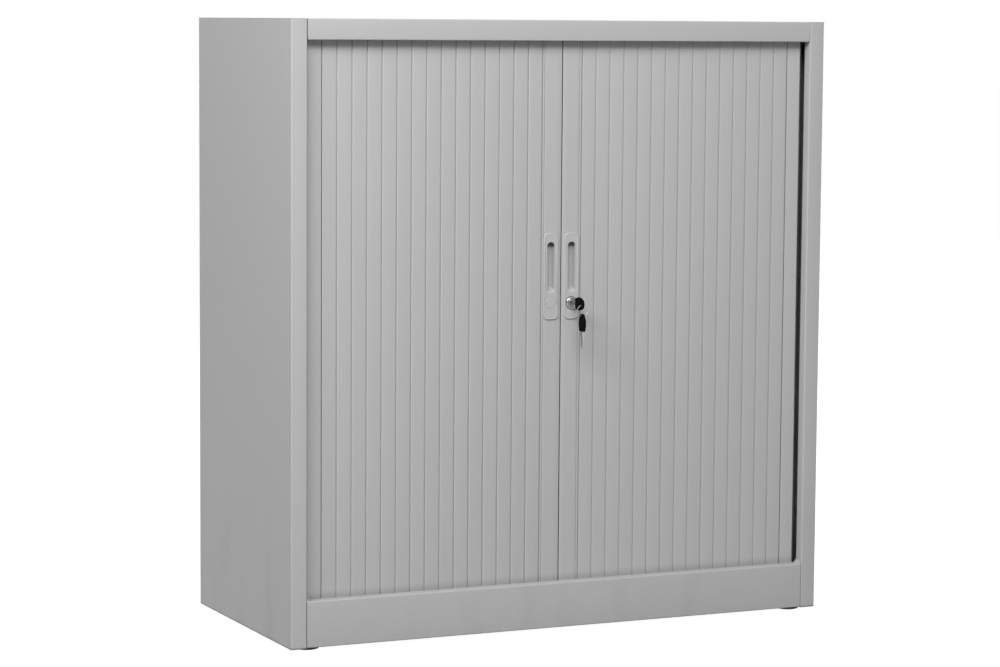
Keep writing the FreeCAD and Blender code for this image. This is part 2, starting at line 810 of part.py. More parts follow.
def key(prefix, hanging):
    """A key: flat steel blade with a shoulder, and a moulded bow with an eye for the ring.

    Sizes run along the key from where the bow meets the blade, up the bow to its eye.
    """
    across_half = "dims.bow_base / 2"
    tip_half = "dims.bow_tip / 2"
    shape = [
        ("0", f"-({across_half})"),
        ("dims.bow_shoulder", f"-({tip_half})"),
        ("dims.bow_shoulder", tip_half),
        ("0", across_half),
    ]
    arcs = {
        0: ("dims.bow_side_radius", 1),
        1: ("dims.bow_end_radius", 1),
        2: ("dims.bow_side_radius", 1),
    }
    if hanging:
        corners = [(f"-({across})", along) for along, across in shape]
        eye = ("0", "dims.eye_place")
    else:
        corners = [(f"-({along})", f"-({across})") for along, across in shape]
        eye = ("-dims.eye_place", "0")
    bow = body(f"{prefix}_bow")
    bow_outline = outline(bow, "YZ_Plane", f"{prefix}_bow_outline", corners, arcs)
    pad(bow, bow_outline, "dims.bow_thickness", both_ways=True)
    eye_outline = circle(bow, "YZ_Plane", f"{prefix}_eye", *eye, "dims.eye_radius")
    pocket(bow, eye_outline, f"dims.bow_thickness + {2 * OVER}")

    centre = "dims.handle_offset"
    bow_y = "-dims.bow_front"
    bow_z = LOCK_Z
    if hanging:
        bow_y = "(-dims.bow_front - dims.eye_place)"
        bow_z = f"({LOCK_Z} - 2 * dims.ring_hang - 2 * dims.ring_radius - dims.eye_place)"
    move_to(bow, centre, bow_y, bow_z)
    step = "dims.shoulder_length"
    parts = []
    for name, half_breadth, half_thick, low, high in (
        ("shoulder", "dims.shoulder_width / 2", "dims.blade_thickness", "0", step),
        ("blade", "dims.blade_width / 2", "dims.blade_thickness / 2", step, f"{step} + dims.blade_length"),
    ):
        x = (f"{centre} - {half_thick}", f"{centre} + {half_thick}")
        if hanging:
            y = (f"{bow_y} - {half_breadth}", f"{bow_y} + {half_breadth}")
            z = (f"{bow_z} - ({high})", f"{bow_z} - ({low})")
        else:
            y = (f"{bow_y} + {low}", f"{bow_y} + {high}")
            z = (f"{bow_z} - {half_breadth}", f"{bow_z} + {half_breadth}")
        parts.append(block(f"{prefix}_{name}_blank", x, y, z))
    keep(joined(f"{prefix}_blank", parts), f"{prefix}_blade")


def key_ring():
    """Wire ring through the eyes of both keys."""
    ring = doc.addObject("Part::Torus", "wire_ring")
    ring.setExpression("Radius1", "dims.ring_radius")
    ring.setExpression("Radius2", "dims.ring_wire")
    ring.Placement.Rotation = FreeCAD.Rotation(FreeCAD.Vector(1, 0, 0), 90)
    move_to(
        ring,
        "dims.handle_offset",
        "-dims.bow_front - dims.eye_place",
        f"{LOCK_Z} - dims.ring_hang - dims.ring_radius",
    )
    keep(ring, "key_ring")


def shelf(label, top):
    """Steel shelf folded down on all four sides."""
    bottom = f"({BASE} + {top} - dims.shelf_depth)"
    reach = "dims.shelf_reach"
    outer = block(
        f"{label}_outer",
        (f"-{reach}", reach),
        ("-dims.shelf_front", "dims.shelf_back"),
        (bottom, f"{BASE} + {top}"),
    )
    inner = block(
        f"{label}_inner",
        (f"-{reach} + dims.steel", f"{reach} - dims.steel"),
        ("-dims.shelf_front + dims.steel", "dims.shelf_back - dims.steel"),
        (f"{bottom} - {OVER}", f"{BASE} + {top} - dims.steel"),
    )
    keep(cut(f"{label}_sheet", outer, [inner]), label)


def shelf_clips():
    """Eight steel clips that hook into the liners' slots and carry the shelves."""
    clips = []
    places = {
        "front": "(-dims.shelf_front + dims.clip_inset)",
        "back": "(dims.shelf_back - dims.clip_inset)",
    }
    for shelf_name, top in (("lower", "dims.lower_shelf_top"), ("upper", "dims.upper_shelf_top")):
        high = f"({BASE} + {top} - dims.shelf_depth)"
        for name, side in SIDES.items():
            for place, along in places.items():
                clips.append(
                    block(
                        f"{shelf_name}_{name}_{place}_clip",
                        mirrored(side, "dims.liner_offset - dims.clip_size", "dims.liner_offset"),
                        (f"{along} - dims.clip_half_width", f"{along} + dims.clip_half_width"),
                        (f"{high} - dims.clip_size", high),
                    )
                )
    keep(grouped("clip_group", clips), "shelf_clips")


def feet():
    """Four levelling feet: a round pad on a threaded stem, screwed into a corner bracket."""
    inset_x = f"({HALF_WIDTH} - dims.foot_inset_across)"
    inset_y = f"({HALF_DEPTH} - dims.foot_inset_along)"
    pads = []
    brackets = []
    for name, side in SIDES.items():
        for place, way in (("front", -1), ("back", 1)):
            x = f"{side} * {inset_x}"
            y = f"{way} * {inset_y}"
            corner = f"{place}_{name}"
            stem = ("dims.foot_height", "dims.stem_top")
            foot = [
                rod(f"{corner}_pad", "dims.foot_radius", x, y, ("0", "dims.foot_height"), "z"),
                rod(f"{corner}_stem", "dims.stem_radius", x, y, stem, "z"),
            ]
            pads.append(joined(f"{corner}_foot", foot))
            end = f"({HALF_DEPTH} - dims.return_depth - dims.bracket_gap)"
            span = (f"-{end}", f"-{end} + dims.bracket_size")
            if way > 0:
                span = (f"{end} - dims.bracket_size", end)
            skin = f"({HALF_WIDTH} - dims.steel)"
            low = f"({BASE} + dims.bracket_height)"
            high = f"({low} + dims.bracket_plate)"
            plate = block(
                f"{corner}_plate",
                mirrored(side, f"{skin} - dims.bracket_size", skin),
                span,
                (low, high),
            )
            drill_ends = (f"{low} - {OVER}", f"{high} + {OVER}")
            drill = rod(f"{corner}_thread", f"dims.stem_radius + {FIT}", x, y, drill_ends, "z")
            brackets.append(cut(f"{corner}_bracket", plate, [drill]))
    keep(grouped("foot_group", pads), "levelling_feet")
    keep(grouped("bracket_group", brackets), "foot_brackets")


def check_document():
    """Stops before anything is written if an object failed."""
    for item in doc.Objects:
        if any(word in item.State for word in ("Invalid", "Error")):
            raise RuntimeError(f"{item.Name} failed: {item.State}")
    for piece in sub_parts:
        if piece.Shape.isNull() or not piece.Shape.isValid():
            raise RuntimeError(f"{piece.Label} has no valid shape")


for panel_name, panel_side in SIDES.items():
    side_panel(panel_name, panel_side)
    liner(panel_name, panel_side)
    lead_slat(panel_name, panel_side)
    handle_plate(panel_name, panel_side)
    for slat_number in range(1, SLAT_COUNT + 1):
        roll_front_slat(panel_name, panel_side, slat_number)
top_panel()
back_panel()
base_pan()
plinth()
tracks()
corner_slats()
shelf("lower_shelf", "dims.lower_shelf_top")
shelf("upper_shelf", "dims.upper_shelf_top")
shelf_clips()
feet()
lock()
key("key", hanging=False)
key("spare_key", hanging=True)
key_ring()

doc.recompute()
check_document()
os.makedirs("parts", exist_ok=True)
for sub_part in sub_parts:
    sub_part.Shape.exportStep(f"parts/{sub_part.Label}.step")
print(f"{len(sub_parts)} sub-parts written")
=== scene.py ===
"""Looks of the roll front tool cabinet: powder-coated case, moulded slats, grips, lock and keys."""
import math

import bmesh
import bpy
from mathutils import Matrix, Vector


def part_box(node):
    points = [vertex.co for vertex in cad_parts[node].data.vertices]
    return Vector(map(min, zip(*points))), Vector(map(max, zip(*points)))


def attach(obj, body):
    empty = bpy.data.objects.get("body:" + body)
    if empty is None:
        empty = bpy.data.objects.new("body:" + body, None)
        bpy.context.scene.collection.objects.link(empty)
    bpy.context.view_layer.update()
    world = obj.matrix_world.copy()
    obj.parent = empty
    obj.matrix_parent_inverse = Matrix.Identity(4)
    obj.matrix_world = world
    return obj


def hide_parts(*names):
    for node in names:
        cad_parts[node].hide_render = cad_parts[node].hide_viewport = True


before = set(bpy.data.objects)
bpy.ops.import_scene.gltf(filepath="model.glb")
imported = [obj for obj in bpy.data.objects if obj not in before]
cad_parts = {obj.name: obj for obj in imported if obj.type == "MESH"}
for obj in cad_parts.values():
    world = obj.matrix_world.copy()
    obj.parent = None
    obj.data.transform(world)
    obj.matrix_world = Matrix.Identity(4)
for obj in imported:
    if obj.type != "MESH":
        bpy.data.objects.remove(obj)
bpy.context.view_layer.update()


# Studio. The camera stands to the left, level with the lid, far away with a long lens. A large lamp
# to the upper left lights the front and the left side, two faint ones even them out, and two more
# light the right side and the back, which the camera doesn't see.
def feed(tree, node, inputs):
    """Sets inputs of a node. Each takes a plain value or the output socket that feeds it."""
    for name, value in inputs.items():
        if isinstance(value, bpy.types.NodeSocket):
            tree.links.new(value, node.inputs[name])
        else:
            node.inputs[name].default_value = value


def add_node(tree, kind, inputs=None, **settings):
    """Adds a node with its settings, and feeds its inputs."""
    node = tree.nodes.new(kind)
    for name, setting in settings.items():
        setattr(node, name, setting)
    feed(tree, node, inputs or {})
    return node


def calculate(tree, operation, first, second=0.0, third=0.0):
    """The result of one Math node."""
    node = add_node(tree, "ShaderNodeMath", {0: first, 1: second, 2: third}, operation=operation)
    return node.outputs[0]


def chain(tree, operation, first, *others):
    """Math nodes in a row, each with the same operation and the next value."""
    for value in others:
        first = calculate(tree, operation, first, value)
    return first


def new_object(name, data):
    """An object in the scene."""
    made = bpy.data.objects.new(name, data)
    bpy.context.scene.collection.objects.link(made)
    return made


def new_material(name):
    """A material, its node tree and its shader."""
    material = bpy.data.materials.new(name)
    material.use_nodes = True
    return material, material.node_tree, material.node_tree.nodes["Principled BSDF"]


def add_lamp(name, place, aim, width, height, watts):
    """A soft box that points at a place on the cabinet."""
    light = bpy.data.lights.new(name, "AREA")
    light.shape = "RECTANGLE"
    light.size = width
    light.size_y = height
    light.energy = watts
    lamp = new_object(name, light)
    lamp.location = place
    lamp.rotation_euler = (Vector(aim) - Vector(place)).to_track_quat("-Z", "Y").to_euler()


camera_place = (-2.3, -4.912, 1.042)
yaw, pitch, roll = math.radians(24.91), math.radians(5.79), math.radians(0.42)
forward = Vector((math.sin(yaw) * math.cos(pitch), math.cos(yaw) * math.cos(pitch), -math.sin(pitch)))
level_right = Vector((math.cos(yaw), -math.sin(yaw), 0))
level_up = level_right.cross(forward)
right = level_right * math.cos(roll) + level_up * math.sin(roll)
up = level_up * math.cos(roll) - level_right * math.sin(roll)
camera_data = bpy.data.cameras.new("camera")
camera_data.sensor_width = 36
camera_data.lens = 110.8
camera = new_object("camera", camera_data)
camera.matrix_world = Matrix.Translation(camera_place) @ Matrix((right, up, -forward)).transposed().to_4x4()
bpy.context.scene.camera = camera
bpy.context.scene.view_settings.view_transform = "Standard"

add_lamp("wide_upper_lamp", (-1.75, -2.5, 2.85), (-0.1, -0.2, 0.5), width=4.2, height=1.2, watts=183)
add_lamp("left_lamp", (-4.4, 0.4, 3.1), (-0.5, 0, 0.7), width=2.5, height=2.5, watts=6)
add_lamp("right_lamp", (3.6, -3.4, 2.4), (0, 0, 0.6), width=2.5, height=2.5, watts=8)
add_lamp("right_side_lamp", (4.2, 1.2, 2.7), (0.5, 0, 0.6), width=2.2, height=2.2, watts=45)
add_lamp("back_lamp", (-0.8, 4.2, 2.9), (0, 0.2, 0.5), width=2.6, height=1.6, watts=60)


def seen_directly(tree):
    """1 for what the camera, a reflection or a clear piece sees, and 0 for what lights the object."""
    rays = add_node(tree, "ShaderNodeLightPath").outputs
    kinds = ("Is Camera Ray", "Is Glossy Ray", "Is Transmission Ray")
    return chain(tree, "MAXIMUM", *(rays[kind] for kind in kinds))


white = (1, 1, 1, 1)
world = bpy.data.worlds.new("studio")
bpy.context.scene.world = world
world.use_nodes = True
world_tree = world.node_tree
world_tree.nodes.clear()
ambient = add_node(world_tree, "ShaderNodeBackground", {"Color": white, "Strength": 0.1})
backdrop = add_node(world_tree, "ShaderNodeBackground", {"Color": white, "Strength": 1.0})
world_inputs = {0: seen_directly(world_tree), 1: ambient.outputs[0], 2: backdrop.outputs[0]}
world_mix = add_node(world_tree, "ShaderNodeMixShader", world_inputs)
add_node(world_tree, "ShaderNodeOutputWorld", {"Surface": world_mix.outputs[0]})

floor_material, floor_tree, floor_shader = new_material("studio_floor")
floor_looks = {
    "Base Color": (0.35, 0.35, 0.35, 1),
    "Roughness": 1.0,
    "Specular IOR Level": 0.0,
    "Emission Color": white,
    "Emission Strength": calculate(floor_tree, "MULTIPLY", seen_directly(floor_tree), 0.965),
}
feed(floor_tree, floor_shader, floor_looks)
floor_corners = [(-40, -40, 0), (40, -40, 0), (40, 40, 0), (-40, 40, 0)]
floor_mesh = bpy.data.meshes.new("studio_floor")
floor_mesh.from_pydata(floor_corners, [], [(0, 1, 2, 3)])
floor_mesh.materials.append(floor_material)
floor = new_object("studio_floor", floor_mesh)


# Side panels: 1 mm sheet steel, each folded into the front stile with its return and a back
# flange, then powder-coated light grey. The coat has a fine orange-peel skin and a few faint
# smudges near the floor. Its colour is painted lighter on the folds as a highlight, where it is
# also a little glossier, and painted darker towards the floor as shade.
def new_group(name, kind, inputs, outputs):
    """A node group with the given sockets, and what comes in through them."""
    tree = bpy.data.node_groups.new(name, kind)
    for way, sockets in (("INPUT", inputs), ("OUTPUT", outputs)):
        for label, socket in sockets.items():
            tree.interface.new_socket(label, in_out=way, socket_type=f"NodeSocket{socket}")
    return tree, add_node(tree, "NodeGroupInput").outputs


def noise(tree, place, scale, detail, distortion=0.0):
    """Values of a noise texture."""
    inputs = {"Vector": place, "Scale": scale, "Detail": detail, "Distortion": distortion}
    return add_node(tree, "ShaderNodeTexNoise", inputs).outputs["Fac"]


def ramp(tree, value, start, end, first=0.0, last=1.0, kind="SMOOTHSTEP"):
    """first where the value hasn't reached the start, last past the end, and a ramp between."""
    inputs = {"Value": value, "From Min": start, "From Max": end, "To Min": first, "To Max": last}
    return add_node(tree, "ShaderNodeMapRange", inputs, interpolation_type=kind).outputs[0]


def shaded(tree, colour, amount):
    """A colour made darker or lighter."""
    inputs = {0: colour, "Scale": amount}
    return add_node(tree, "ShaderNodeVectorMath", inputs, operation="SCALE").outputs[0]


def coat_group():
    """Skin of a coated or moulded piece: peel, clouding, smudges, painted fold highlights and shade."""
    amounts = ("Peel Scale", "Cloud Amount", "Smudge Amount", "Fold Highlight", "Painted Shade", "Roughness")
    inputs = {"Colour": "Color", **dict.fromkeys(amounts, "Float")}
    outputs = {"Colour": "Color", "Roughness": "Float", "Height": "Float"}
    tree, given = new_group("coat_skin", "ShaderNodeTree", inputs, outputs)
    place = add_node(tree, "ShaderNodeTexCoord").outputs["Object"]
    peel = noise(tree, place, given["Peel Scale"], 2.0)
    cloud = noise(tree, place, 3.5, 4.0)
    slant = {"Vector": place, "Rotation": (0.5, 0.35, 0.0), "Scale": (9.0, 9.0, 2.2)}
    slanted = add_node(tree, "ShaderNodeMapping", slant).outputs[0]
    patches = ramp(tree, noise(tree, slanted, 1.6, 5.0, 0.6), 0.52, 0.7, kind="LINEAR")
    height = add_node(tree, "ShaderNodeSeparateXYZ", {0: place}).outputs["Z"]
    near_floor = ramp(tree, height, 0.3, 0.06, kind="LINEAR")
    smudge = chain(tree, "MULTIPLY", patches, near_floor, given["Smudge Amount"])
    clouding = calculate(tree, "MULTIPLY_ADD", cloud, given["Cloud Amount"], 1.0)
    half_cloud = calculate(tree, "MULTIPLY", given["Cloud Amount"], 0.5)
    # Painted shadow: the lowest few millimetres, under the bottom folds, are drawn darker.
    foot_shade = ramp(tree, height, 0.0055, 0.0085, 0.7, 0.0)
    tone = chain(tree, "SUBTRACT", clouding, half_cloud, smudge, foot_shade)
    # Painted highlight: the folds are drawn a little lighter. They are a little glossier too.
    tone = calculate(tree, "MULTIPLY_ADD", given["Fold Highlight"], 0.06, tone)
    # Painted shade that a mesh carries: its seams, the top of a slot, the lower side panels.
    tone = calculate(tree, "MULTIPLY", tone, calculate(tree, "SUBTRACT", 1.0, given["Painted Shade"]))
    colour = shaded(tree, given["Colour"], tone)
    rough = calculate(tree, "MULTIPLY_ADD", cloud, 0.08, given["Roughness"])
    rough = calculate(tree, "MULTIPLY_ADD", smudge, 1.5, rough)
    rough = calculate(tree, "MULTIPLY_ADD", given["Fold Highlight"], -0.06, rough)
    add_node(tree, "NodeGroupOutput", {"Colour": colour, "Roughness": rough, "Height": peel})
    return tree


coat_skin = coat_group()


def stored(tree, name):
    """An attribute that the mesh carries, and 0 on a mesh without it."""
    return add_node(tree, "ShaderNodeAttribute", attribute_name=name).outputs["Fac"]


def coat_on(tree, colour, roughness, peel_scale, cloud, smudge):
    """The coat's skin in a material. Its folds carry a painted highlight, its seams and hollows painted
    shade.
    """
    inputs = {
        "Colour": (*colour, 1),
        "Roughness": roughness,
        "Peel Scale": peel_scale,
        "Cloud Amount": cloud,
        "Smudge Amount": smudge,
        "Fold Highlight": stored(tree, "fold_highlight"),
        "Painted Shade": stored(tree, "painted_shade"),
    }
    return add_node(tree, "ShaderNodeGroup", inputs, node_tree=coat_skin).outputs


def set_surface(tree, shader, colour, roughness, height, depth, others):
    """Feeds a shader, with a bump whose depth is in metres."""
    bump = add_node(tree, "ShaderNodeBump", {"Height": height, "Strength": 1.0, "Distance": depth})
    feed(tree, shader, {"Base Color": colour, "Roughness": roughness, "Normal": bump.outputs[0], **others})


def coated_material(name, colour, roughness, peel_scale, peel_depth, cloud=0.03, smudge=0.0, gloss=0.4):
    """A powder-coated or moulded finish."""
    material, tree, shader = new_material(name)
    skin = coat_on(tree, colour, roughness, peel_scale, cloud, smudge)
    others = {"Specular IOR Level": gloss}
    set_surface(tree, shader, skin["Colour"], skin["Roughness"], skin["Height"], peel_depth, others)
    return material


def finish_piece(name, mesh, material, body, replaced, smooth_angle=32):
    """Turns a mesh that is in millimetres into a finished piece that rides on a CAD body."""
    mesh.transform(Matrix.Scale(0.001, 4))
    work = bmesh.new()
    work.from_mesh(mesh)
    bmesh.ops.remove_doubles(work, verts=work.verts, dist=1e-6)
    bmesh.ops.recalc_face_normals(work, faces=work.faces)
    work.to_mesh(mesh)
    work.free()
    mesh.shade_smooth()
    mesh.set_sharp_from_angle(angle=math.radians(smooth_angle))
    mesh.materials.clear()
    mesh.materials.append(material)
    piece = new_object(name, mesh)
    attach(piece, body)
    if replaced:
        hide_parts(*replaced)


gauge = 1.0
half_gauge = gauge / 2
fold = 1.5


def folded_strip(corners, steps=6):
    """Centre line of a folded sheet: points, normals, and 1 where a point lies in a fold."""
    points = []
    for index, corner in enumerate(corners):
        here = Vector(corner)
        before = (here - Vector(corners[index - 1])).normalized() if index else None
        after = (Vector(corners[index + 1]) - here).normalized() if index + 1 < len(corners) else None
        if before is None or after is None:
            along = after or before
            points.append((here, Vector((along.y, -along.x)), 0.0))
            continue
        turn = before.angle_signed(after)
        side = -1 if turn > 0 else 1
        start = Vector((before.y, -before.x)) * side
        centre = here - before * fold * math.tan(abs(turn) / 2) - start * fold
        for step in range(steps + 1):
            share = step / steps
            spoke = Matrix.Rotation(-turn * share, 2) @ start
            in_fold = 0.0 if step in (0, steps) else 1.0
            points.append((centre + spoke * fold, spoke * side, in_fold))
    return points


def sheet_mesh(name, corners, stations, place):
    """A folded sheet with its cross-section along the corners. place puts (across, up, along) in 3-D."""
    line = folded_strip(corners)
    count = len(line)
    ring = 2 * count
    vertices, fold_highlight = [], []
    for end in stations:
        for half in (half_gauge, -half_gauge):
            for point, normal, in_fold in line:
                offset = point + normal * half
                vertices.append(place(offset.x, offset.y, end))
                fold_highlight.append(in_fold)
    faces = []
    last = (len(stations) - 1) * ring
    for base in range(0, last, ring):
        for index in range(base, base + count - 1):
            faces.append((index, index + 1, index + 1 + ring, index + ring))
            faces.append((index + count + ring, index + count + 1 + ring, index + count + 1, index + count))
        for a, b in ((base, base + count), (base + count - 1, base + ring - 1)):
            faces.append((a, b, b + ring, a + ring))
    for base in (0, last):
        for index in range(base, base + count - 1):
            faces.append((index, index + 1, index + 1 + count, index + count))
    mesh = bpy.data.meshes.new(name)
    mesh.from_pydata(vertices, [], faces)
    # The folds carry a painted highlight, which the coat draws lighter.
    mesh.attributes.new("fold_highlight", "FLOAT", "POINT").data.foreach_set("value", fold_highlight)
    return mesh


def mark(mesh, name, rule):
    """Stores rule(place) on each point of a mesh, under a name that its finish reads."""
    mesh.attributes.new(name, "FLOAT", "POINT").data.foreach_set("value", [rule(v.co) for v in mesh.vertices])


def corners_of(node):
    """Lowest and highest corner of a CAD node, in millimetres."""
    low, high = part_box(node)
    return low * 1000, high * 1000


case_paint = coated_material(
    "light_grey_powder_coat",
    (0.43, 0.43, 0.43),
    roughness=0.42,
    peel_scale=900.0,
    peel_depth=0.00004,
    cloud=0.05,
    smudge=0.05,
)
stile_width = 28.0
stile_return = 18.0
back_flange = 20.0
painted_side_shade_at_foot = 0.11
for side_name, side in (("left", -1), ("right", 1)):
    low, high = corners_of(f"{side_name}_side_panel")
    skin = high.x if side > 0 else low.x
    front = low.y + half_gauge
    panel_path = [
        (skin - side * (stile_width - half_gauge), low.y + stile_return),
        (skin - side * (stile_width - half_gauge), front),
        (skin - side * half_gauge, front),
        (skin - side * half_gauge, high.y - half_gauge),
        (skin - side * back_flange, high.y - half_gauge),
    ]
    panel = sheet_mesh(f"{side_name}_side_sheet", panel_path, (low.z, high.z), lambda x, y, z: (x, y, z))

    # Painted shade: the outer sheet is drawn darker towards the floor.
    def painted_side_shade(p):
        outer_sheet = abs(p.x) > abs(skin) - gauge - 0.2 and p.y > low.y + fold - 0.1
        return painted_side_shade_at_foot * (high.z - p.z) / (high.z - low.z) if outer_sheet else 0.0

    mark(panel, "painted_shade", painted_side_shade)
    panel_node = f"{side_name}_side_panel"
    finish_piece(f"{side_name}_side_sheet", panel, case_paint, "cabinet", [panel_node])


# Top panel: one sheet folded down at the front into the fascia, back under it, and up again, with
# the ledge that carries the upper track. It is spot-welded between the two stiles, so a hairline
# seam shows beside each stile. Same coat as the sides.
def mesh_from(work, name):
    """Ends a mesh in progress."""
    mesh = bpy.data.meshes.new(name)
    work.to_mesh(mesh)
    work.free()
    return mesh


def flat_plate(name, outline, low, high, place, bevel=0.3, holes=(), steps=2):
    """A flat piece cut to an outline, with holes, thickened from low to high, its edges eased."""
    work = bmesh.new()
    edges = []
    for loop in (outline, *holes):
        ring = [work.verts.new((x, y, low)) for x, y in loop]
        edges += [work.edges.new((ring[index - 1], ring[index])) for index in range(len(ring))]
    bmesh.ops.triangle_fill(work, use_beauty=True, use_dissolve=False, edges=edges)
    top = bmesh.ops.extrude_face_region(work, geom=work.faces[:])
    risen = [item for item in top["geom"] if isinstance(item, bmesh.types.BMVert)]
    bmesh.ops.translate(work, verts=risen, vec=(0, 0, high - low))
    bmesh.ops.recalc_face_normals(work, faces=work.faces)
    if bevel:
        sharp = math.radians(40)
        rims = [
            edge
            for edge in work.edges
            if len(edge.link_faces) == 2
            and edge.calc_face_angle(0) > sharp
            and abs(edge.verts[0].co.z - edge.verts[1].co.z) < 1e-6
        ]
        bmesh.ops.bevel(
            work, geom=rims, offset=bevel, segments=steps, profile=0.5, affect="EDGES", clamp_overlap=True
        )
    for vertex in work.verts:
        vertex.co = place(*vertex.co)
    return mesh_from(work, name)


def joined_mesh(name, meshes):
    """One mesh out of several, with their attributes."""
    work = bmesh.new()
    for part in meshes:
        work.from_mesh(part)
    return mesh_from(work, name)


low, high = corners_of("top_panel")
track_low, track_high = corners_of("upper_track")
reach = corners_of("plinth")[1].x
fascia_path = [
    (low.y + fold + half_gauge, high.z - half_gauge),
    (low.y + half_gauge, high.z - half_gauge),
    (low.y + half_gauge, low.z + half_gauge),
    (low.y + stile_return - half_gauge, low.z + half_gauge),
    (low.y + stile_return - half_gauge, high.z - gauge),
]
seam = 0.3
sheet_end = reach - seam
seam_steps = (0, 0.7, 1.5)
right_stations = [sheet_end - back for back in reversed(seam_steps)]
sheet_stations = [-station for station in reversed(right_stations)] + right_stations
fascia = sheet_mesh("fascia", fascia_path, sheet_stations, lambda y, z, x: (x, y, z))
notch = low.y + fold + half_gauge
lid_outline = [
    *((low.x, low.y), (-reach, low.y), (-reach, notch), (reach, notch), (reach, low.y)),
    *((high.x, low.y), (high.x, high.y), (low.x, high.y)),
]
lid = flat_plate("lid", lid_outline, high.z - gauge, high.z, lambda x, y, z: (x, y, z), 0.25)
ledge_side = 480.0
ledge_back = -166.2
ledge_front = low.y + stile_return
ledge_outline = [
    *((-reach, ledge_front), (reach, ledge_front), (reach, track_low.y), (track_high.x, track_low.y)),
    *((track_high.x, track_high.y), (ledge_side, track_high.y), (ledge_side, ledge_back)),
    *((-ledge_side, ledge_back), (-ledge_side, track_high.y), (track_low.x, track_high.y)),
    *((track_low.x, track_low.y), (-reach, track_low.y)),
]
ledge = flat_plate("ledge", ledge_outline, track_high.z, track_high.z + gauge, lambda x, y, z: (x, y, z), 0.2)
top_sheet = joined_mesh("top_sheet", [fascia, lid, ledge])


def mark_seams(mesh, ceiling, left, right):
    """Paints shade into both ends of a sheet below a height, as dark as each seam looks."""
    def seam_shade(p):
        at_seam = sheet_end - 0.8 < abs(p.x) < sheet_end + 0.1 and p.z < ceiling
        return (left if p.x < 0 else right) if at_seam else 0.0

    mark(mesh, "painted_shade", seam_shade)


# Painted shade in the hairline seams beside the stiles.
mark_seams(top_sheet, high.z - 2, left=0.3, right=0.3)
finish_piece("top_sheet", top_sheet, case_paint, "cabinet", ["top_panel"])


# Plinth: kick plate folded back at its top and its foot, set between the stiles below the roll
# fronts. Its top fold is the bright line under the slats. Each end is folded back behind the stile
# and turned up in a small round corner above, where it is welded to the stile's return.
def rectangle(left, bottom, right, top):
    """Outline of a rectangle."""
    return [(left, bottom), (right, bottom), (right, top), (left, top)]


low, high = corners_of("plinth")
plinth_path = [
    (low.y + back_flange + gauge, low.z + half_gauge),
    (low.y + half_gauge, low.z + half_gauge),
    (low.y + half_gauge, high.z - half_gauge),
    (high.y, high.z - half_gauge),
]
plinth_pieces = [sheet_mesh("kick_sheet", plinth_path, sheet_stations, lambda y, z, x: (x, y, z))]
flange_outline = rectangle(low.y + 1, low.z + 1, high.y - 1, high.z - 0.8)
corner_radius = 6.5
corner_foot = high.z - 0.4
turned_up = [
    (sheet_end - corner_radius, corner_foot), (sheet_end, corner_foot), (sheet_end, high.z + corner_radius)
]
for step in range(9):
    angle = math.radians(90 * step / 8)
    inward = gauge + corner_radius * (1 - math.cos(angle))
    turned_up.append((sheet_end - inward, high.z + corner_radius * (1 - math.sin(angle))))
for side in (-1, 1):
    plinth_pieces += [
        flat_plate(
            "end_flange", flange_outline, sheet_end - gauge, sheet_end, lambda y, z, x: (side * x, y, z), 0
        ),
        flat_plate(
            "turned_up_end", turned_up, low.y + 1.5, high.y - 2, lambda x, z, y: (side * x, y, z), 0.2
        ),
    ]
plinth = joined_mesh("plinth_sheet", plinth_pieces)
# Painted shade in the seams beside the stiles, darker on the right.
mark_seams(plinth, high.z - 1.5, left=0.12, right=0.45)
finish_piece("plinth_sheet", plinth, case_paint, "cabinet", ["plinth"])


# Back sheet, base pan, liners and shelves: flat or slotted sheet steel in the same grey, a little
# flatter in gloss inside. Their solids already have the right shape, so they keep it.
def paint_nodes(material, *nodes):
    """Gives CAD nodes that keep their own shape a finish."""
    for node in nodes:
        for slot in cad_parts[node].material_slots:
            slot.material = material


inner_paint = coated_material(
    "inner_powder_coat", (0.41, 0.41, 0.41), roughness=0.5, peel_scale=800.0, peel_depth=0.00005, cloud=0.04
)
paint_nodes(case_paint, "back_panel")
paint_nodes(inner_paint, "base_pan", "left_liner", "right_liner", "lower_shelf", "upper_shelf")


# Tracks: extruded dark plastic, one on the base pan and one under the top panel's ledge. The ends
# of the slats run in them. Their solids keep their shape too.
track_plastic = coated_material(
    "dark_track_plastic",
    (0.022, 0.022, 0.023),
    roughness=0.45,
    peel_scale=500.0,
    peel_depth=0.00003,
    cloud=0.1,
)
paint_nodes(track_plastic, "lower_track", "upper_track")


# Roll fronts: thin extruded plastic slats, sixteen a side. Each is slightly crowned, rounded along
# its outer edge, and dips behind the next slat's edge along its inner one. Dust and painted shade
# darken the joints, painted shade darkens the foot, and a few specks lie on the faces.
def evaluated_mesh(name, tree, inputs, start=None):
    """The plain mesh that a Geometry Nodes tree makes with the given values."""
    carrier = new_object(name, start or bpy.data.meshes.new(name))
    modifier = carrier.modifiers.new(name, "NODES")
    modifier.node_group = tree
    for socket in tree.interface.items_tree:
        if socket.in_out == "INPUT" and socket.name in inputs:
            modifier[socket.identifier] = inputs[socket.name]
    carrier.update_tag()
    graph = bpy.context.evaluated_depsgraph_get()
    mesh = bpy.data.meshes.new_from_object(carrier.evaluated_get(graph), depsgraph=graph)
    mesh.name = name
    carrier.modifiers.remove(modifier)
    bpy.data.objects.remove(carrier)
    return mesh


def new_geometry_group(name, numbers, counts=()):
    """A Geometry Nodes tree with named inputs, and what comes in through them."""
    inputs = {"Geometry": "Geometry"}
    inputs.update(dict.fromkeys(numbers, "Float"))
    inputs.update(dict.fromkeys(counts, "Int"))
    inputs["Material"] = "Material"
    return new_group(name, "GeometryNodeTree", inputs, {"Geometry": "Geometry"})


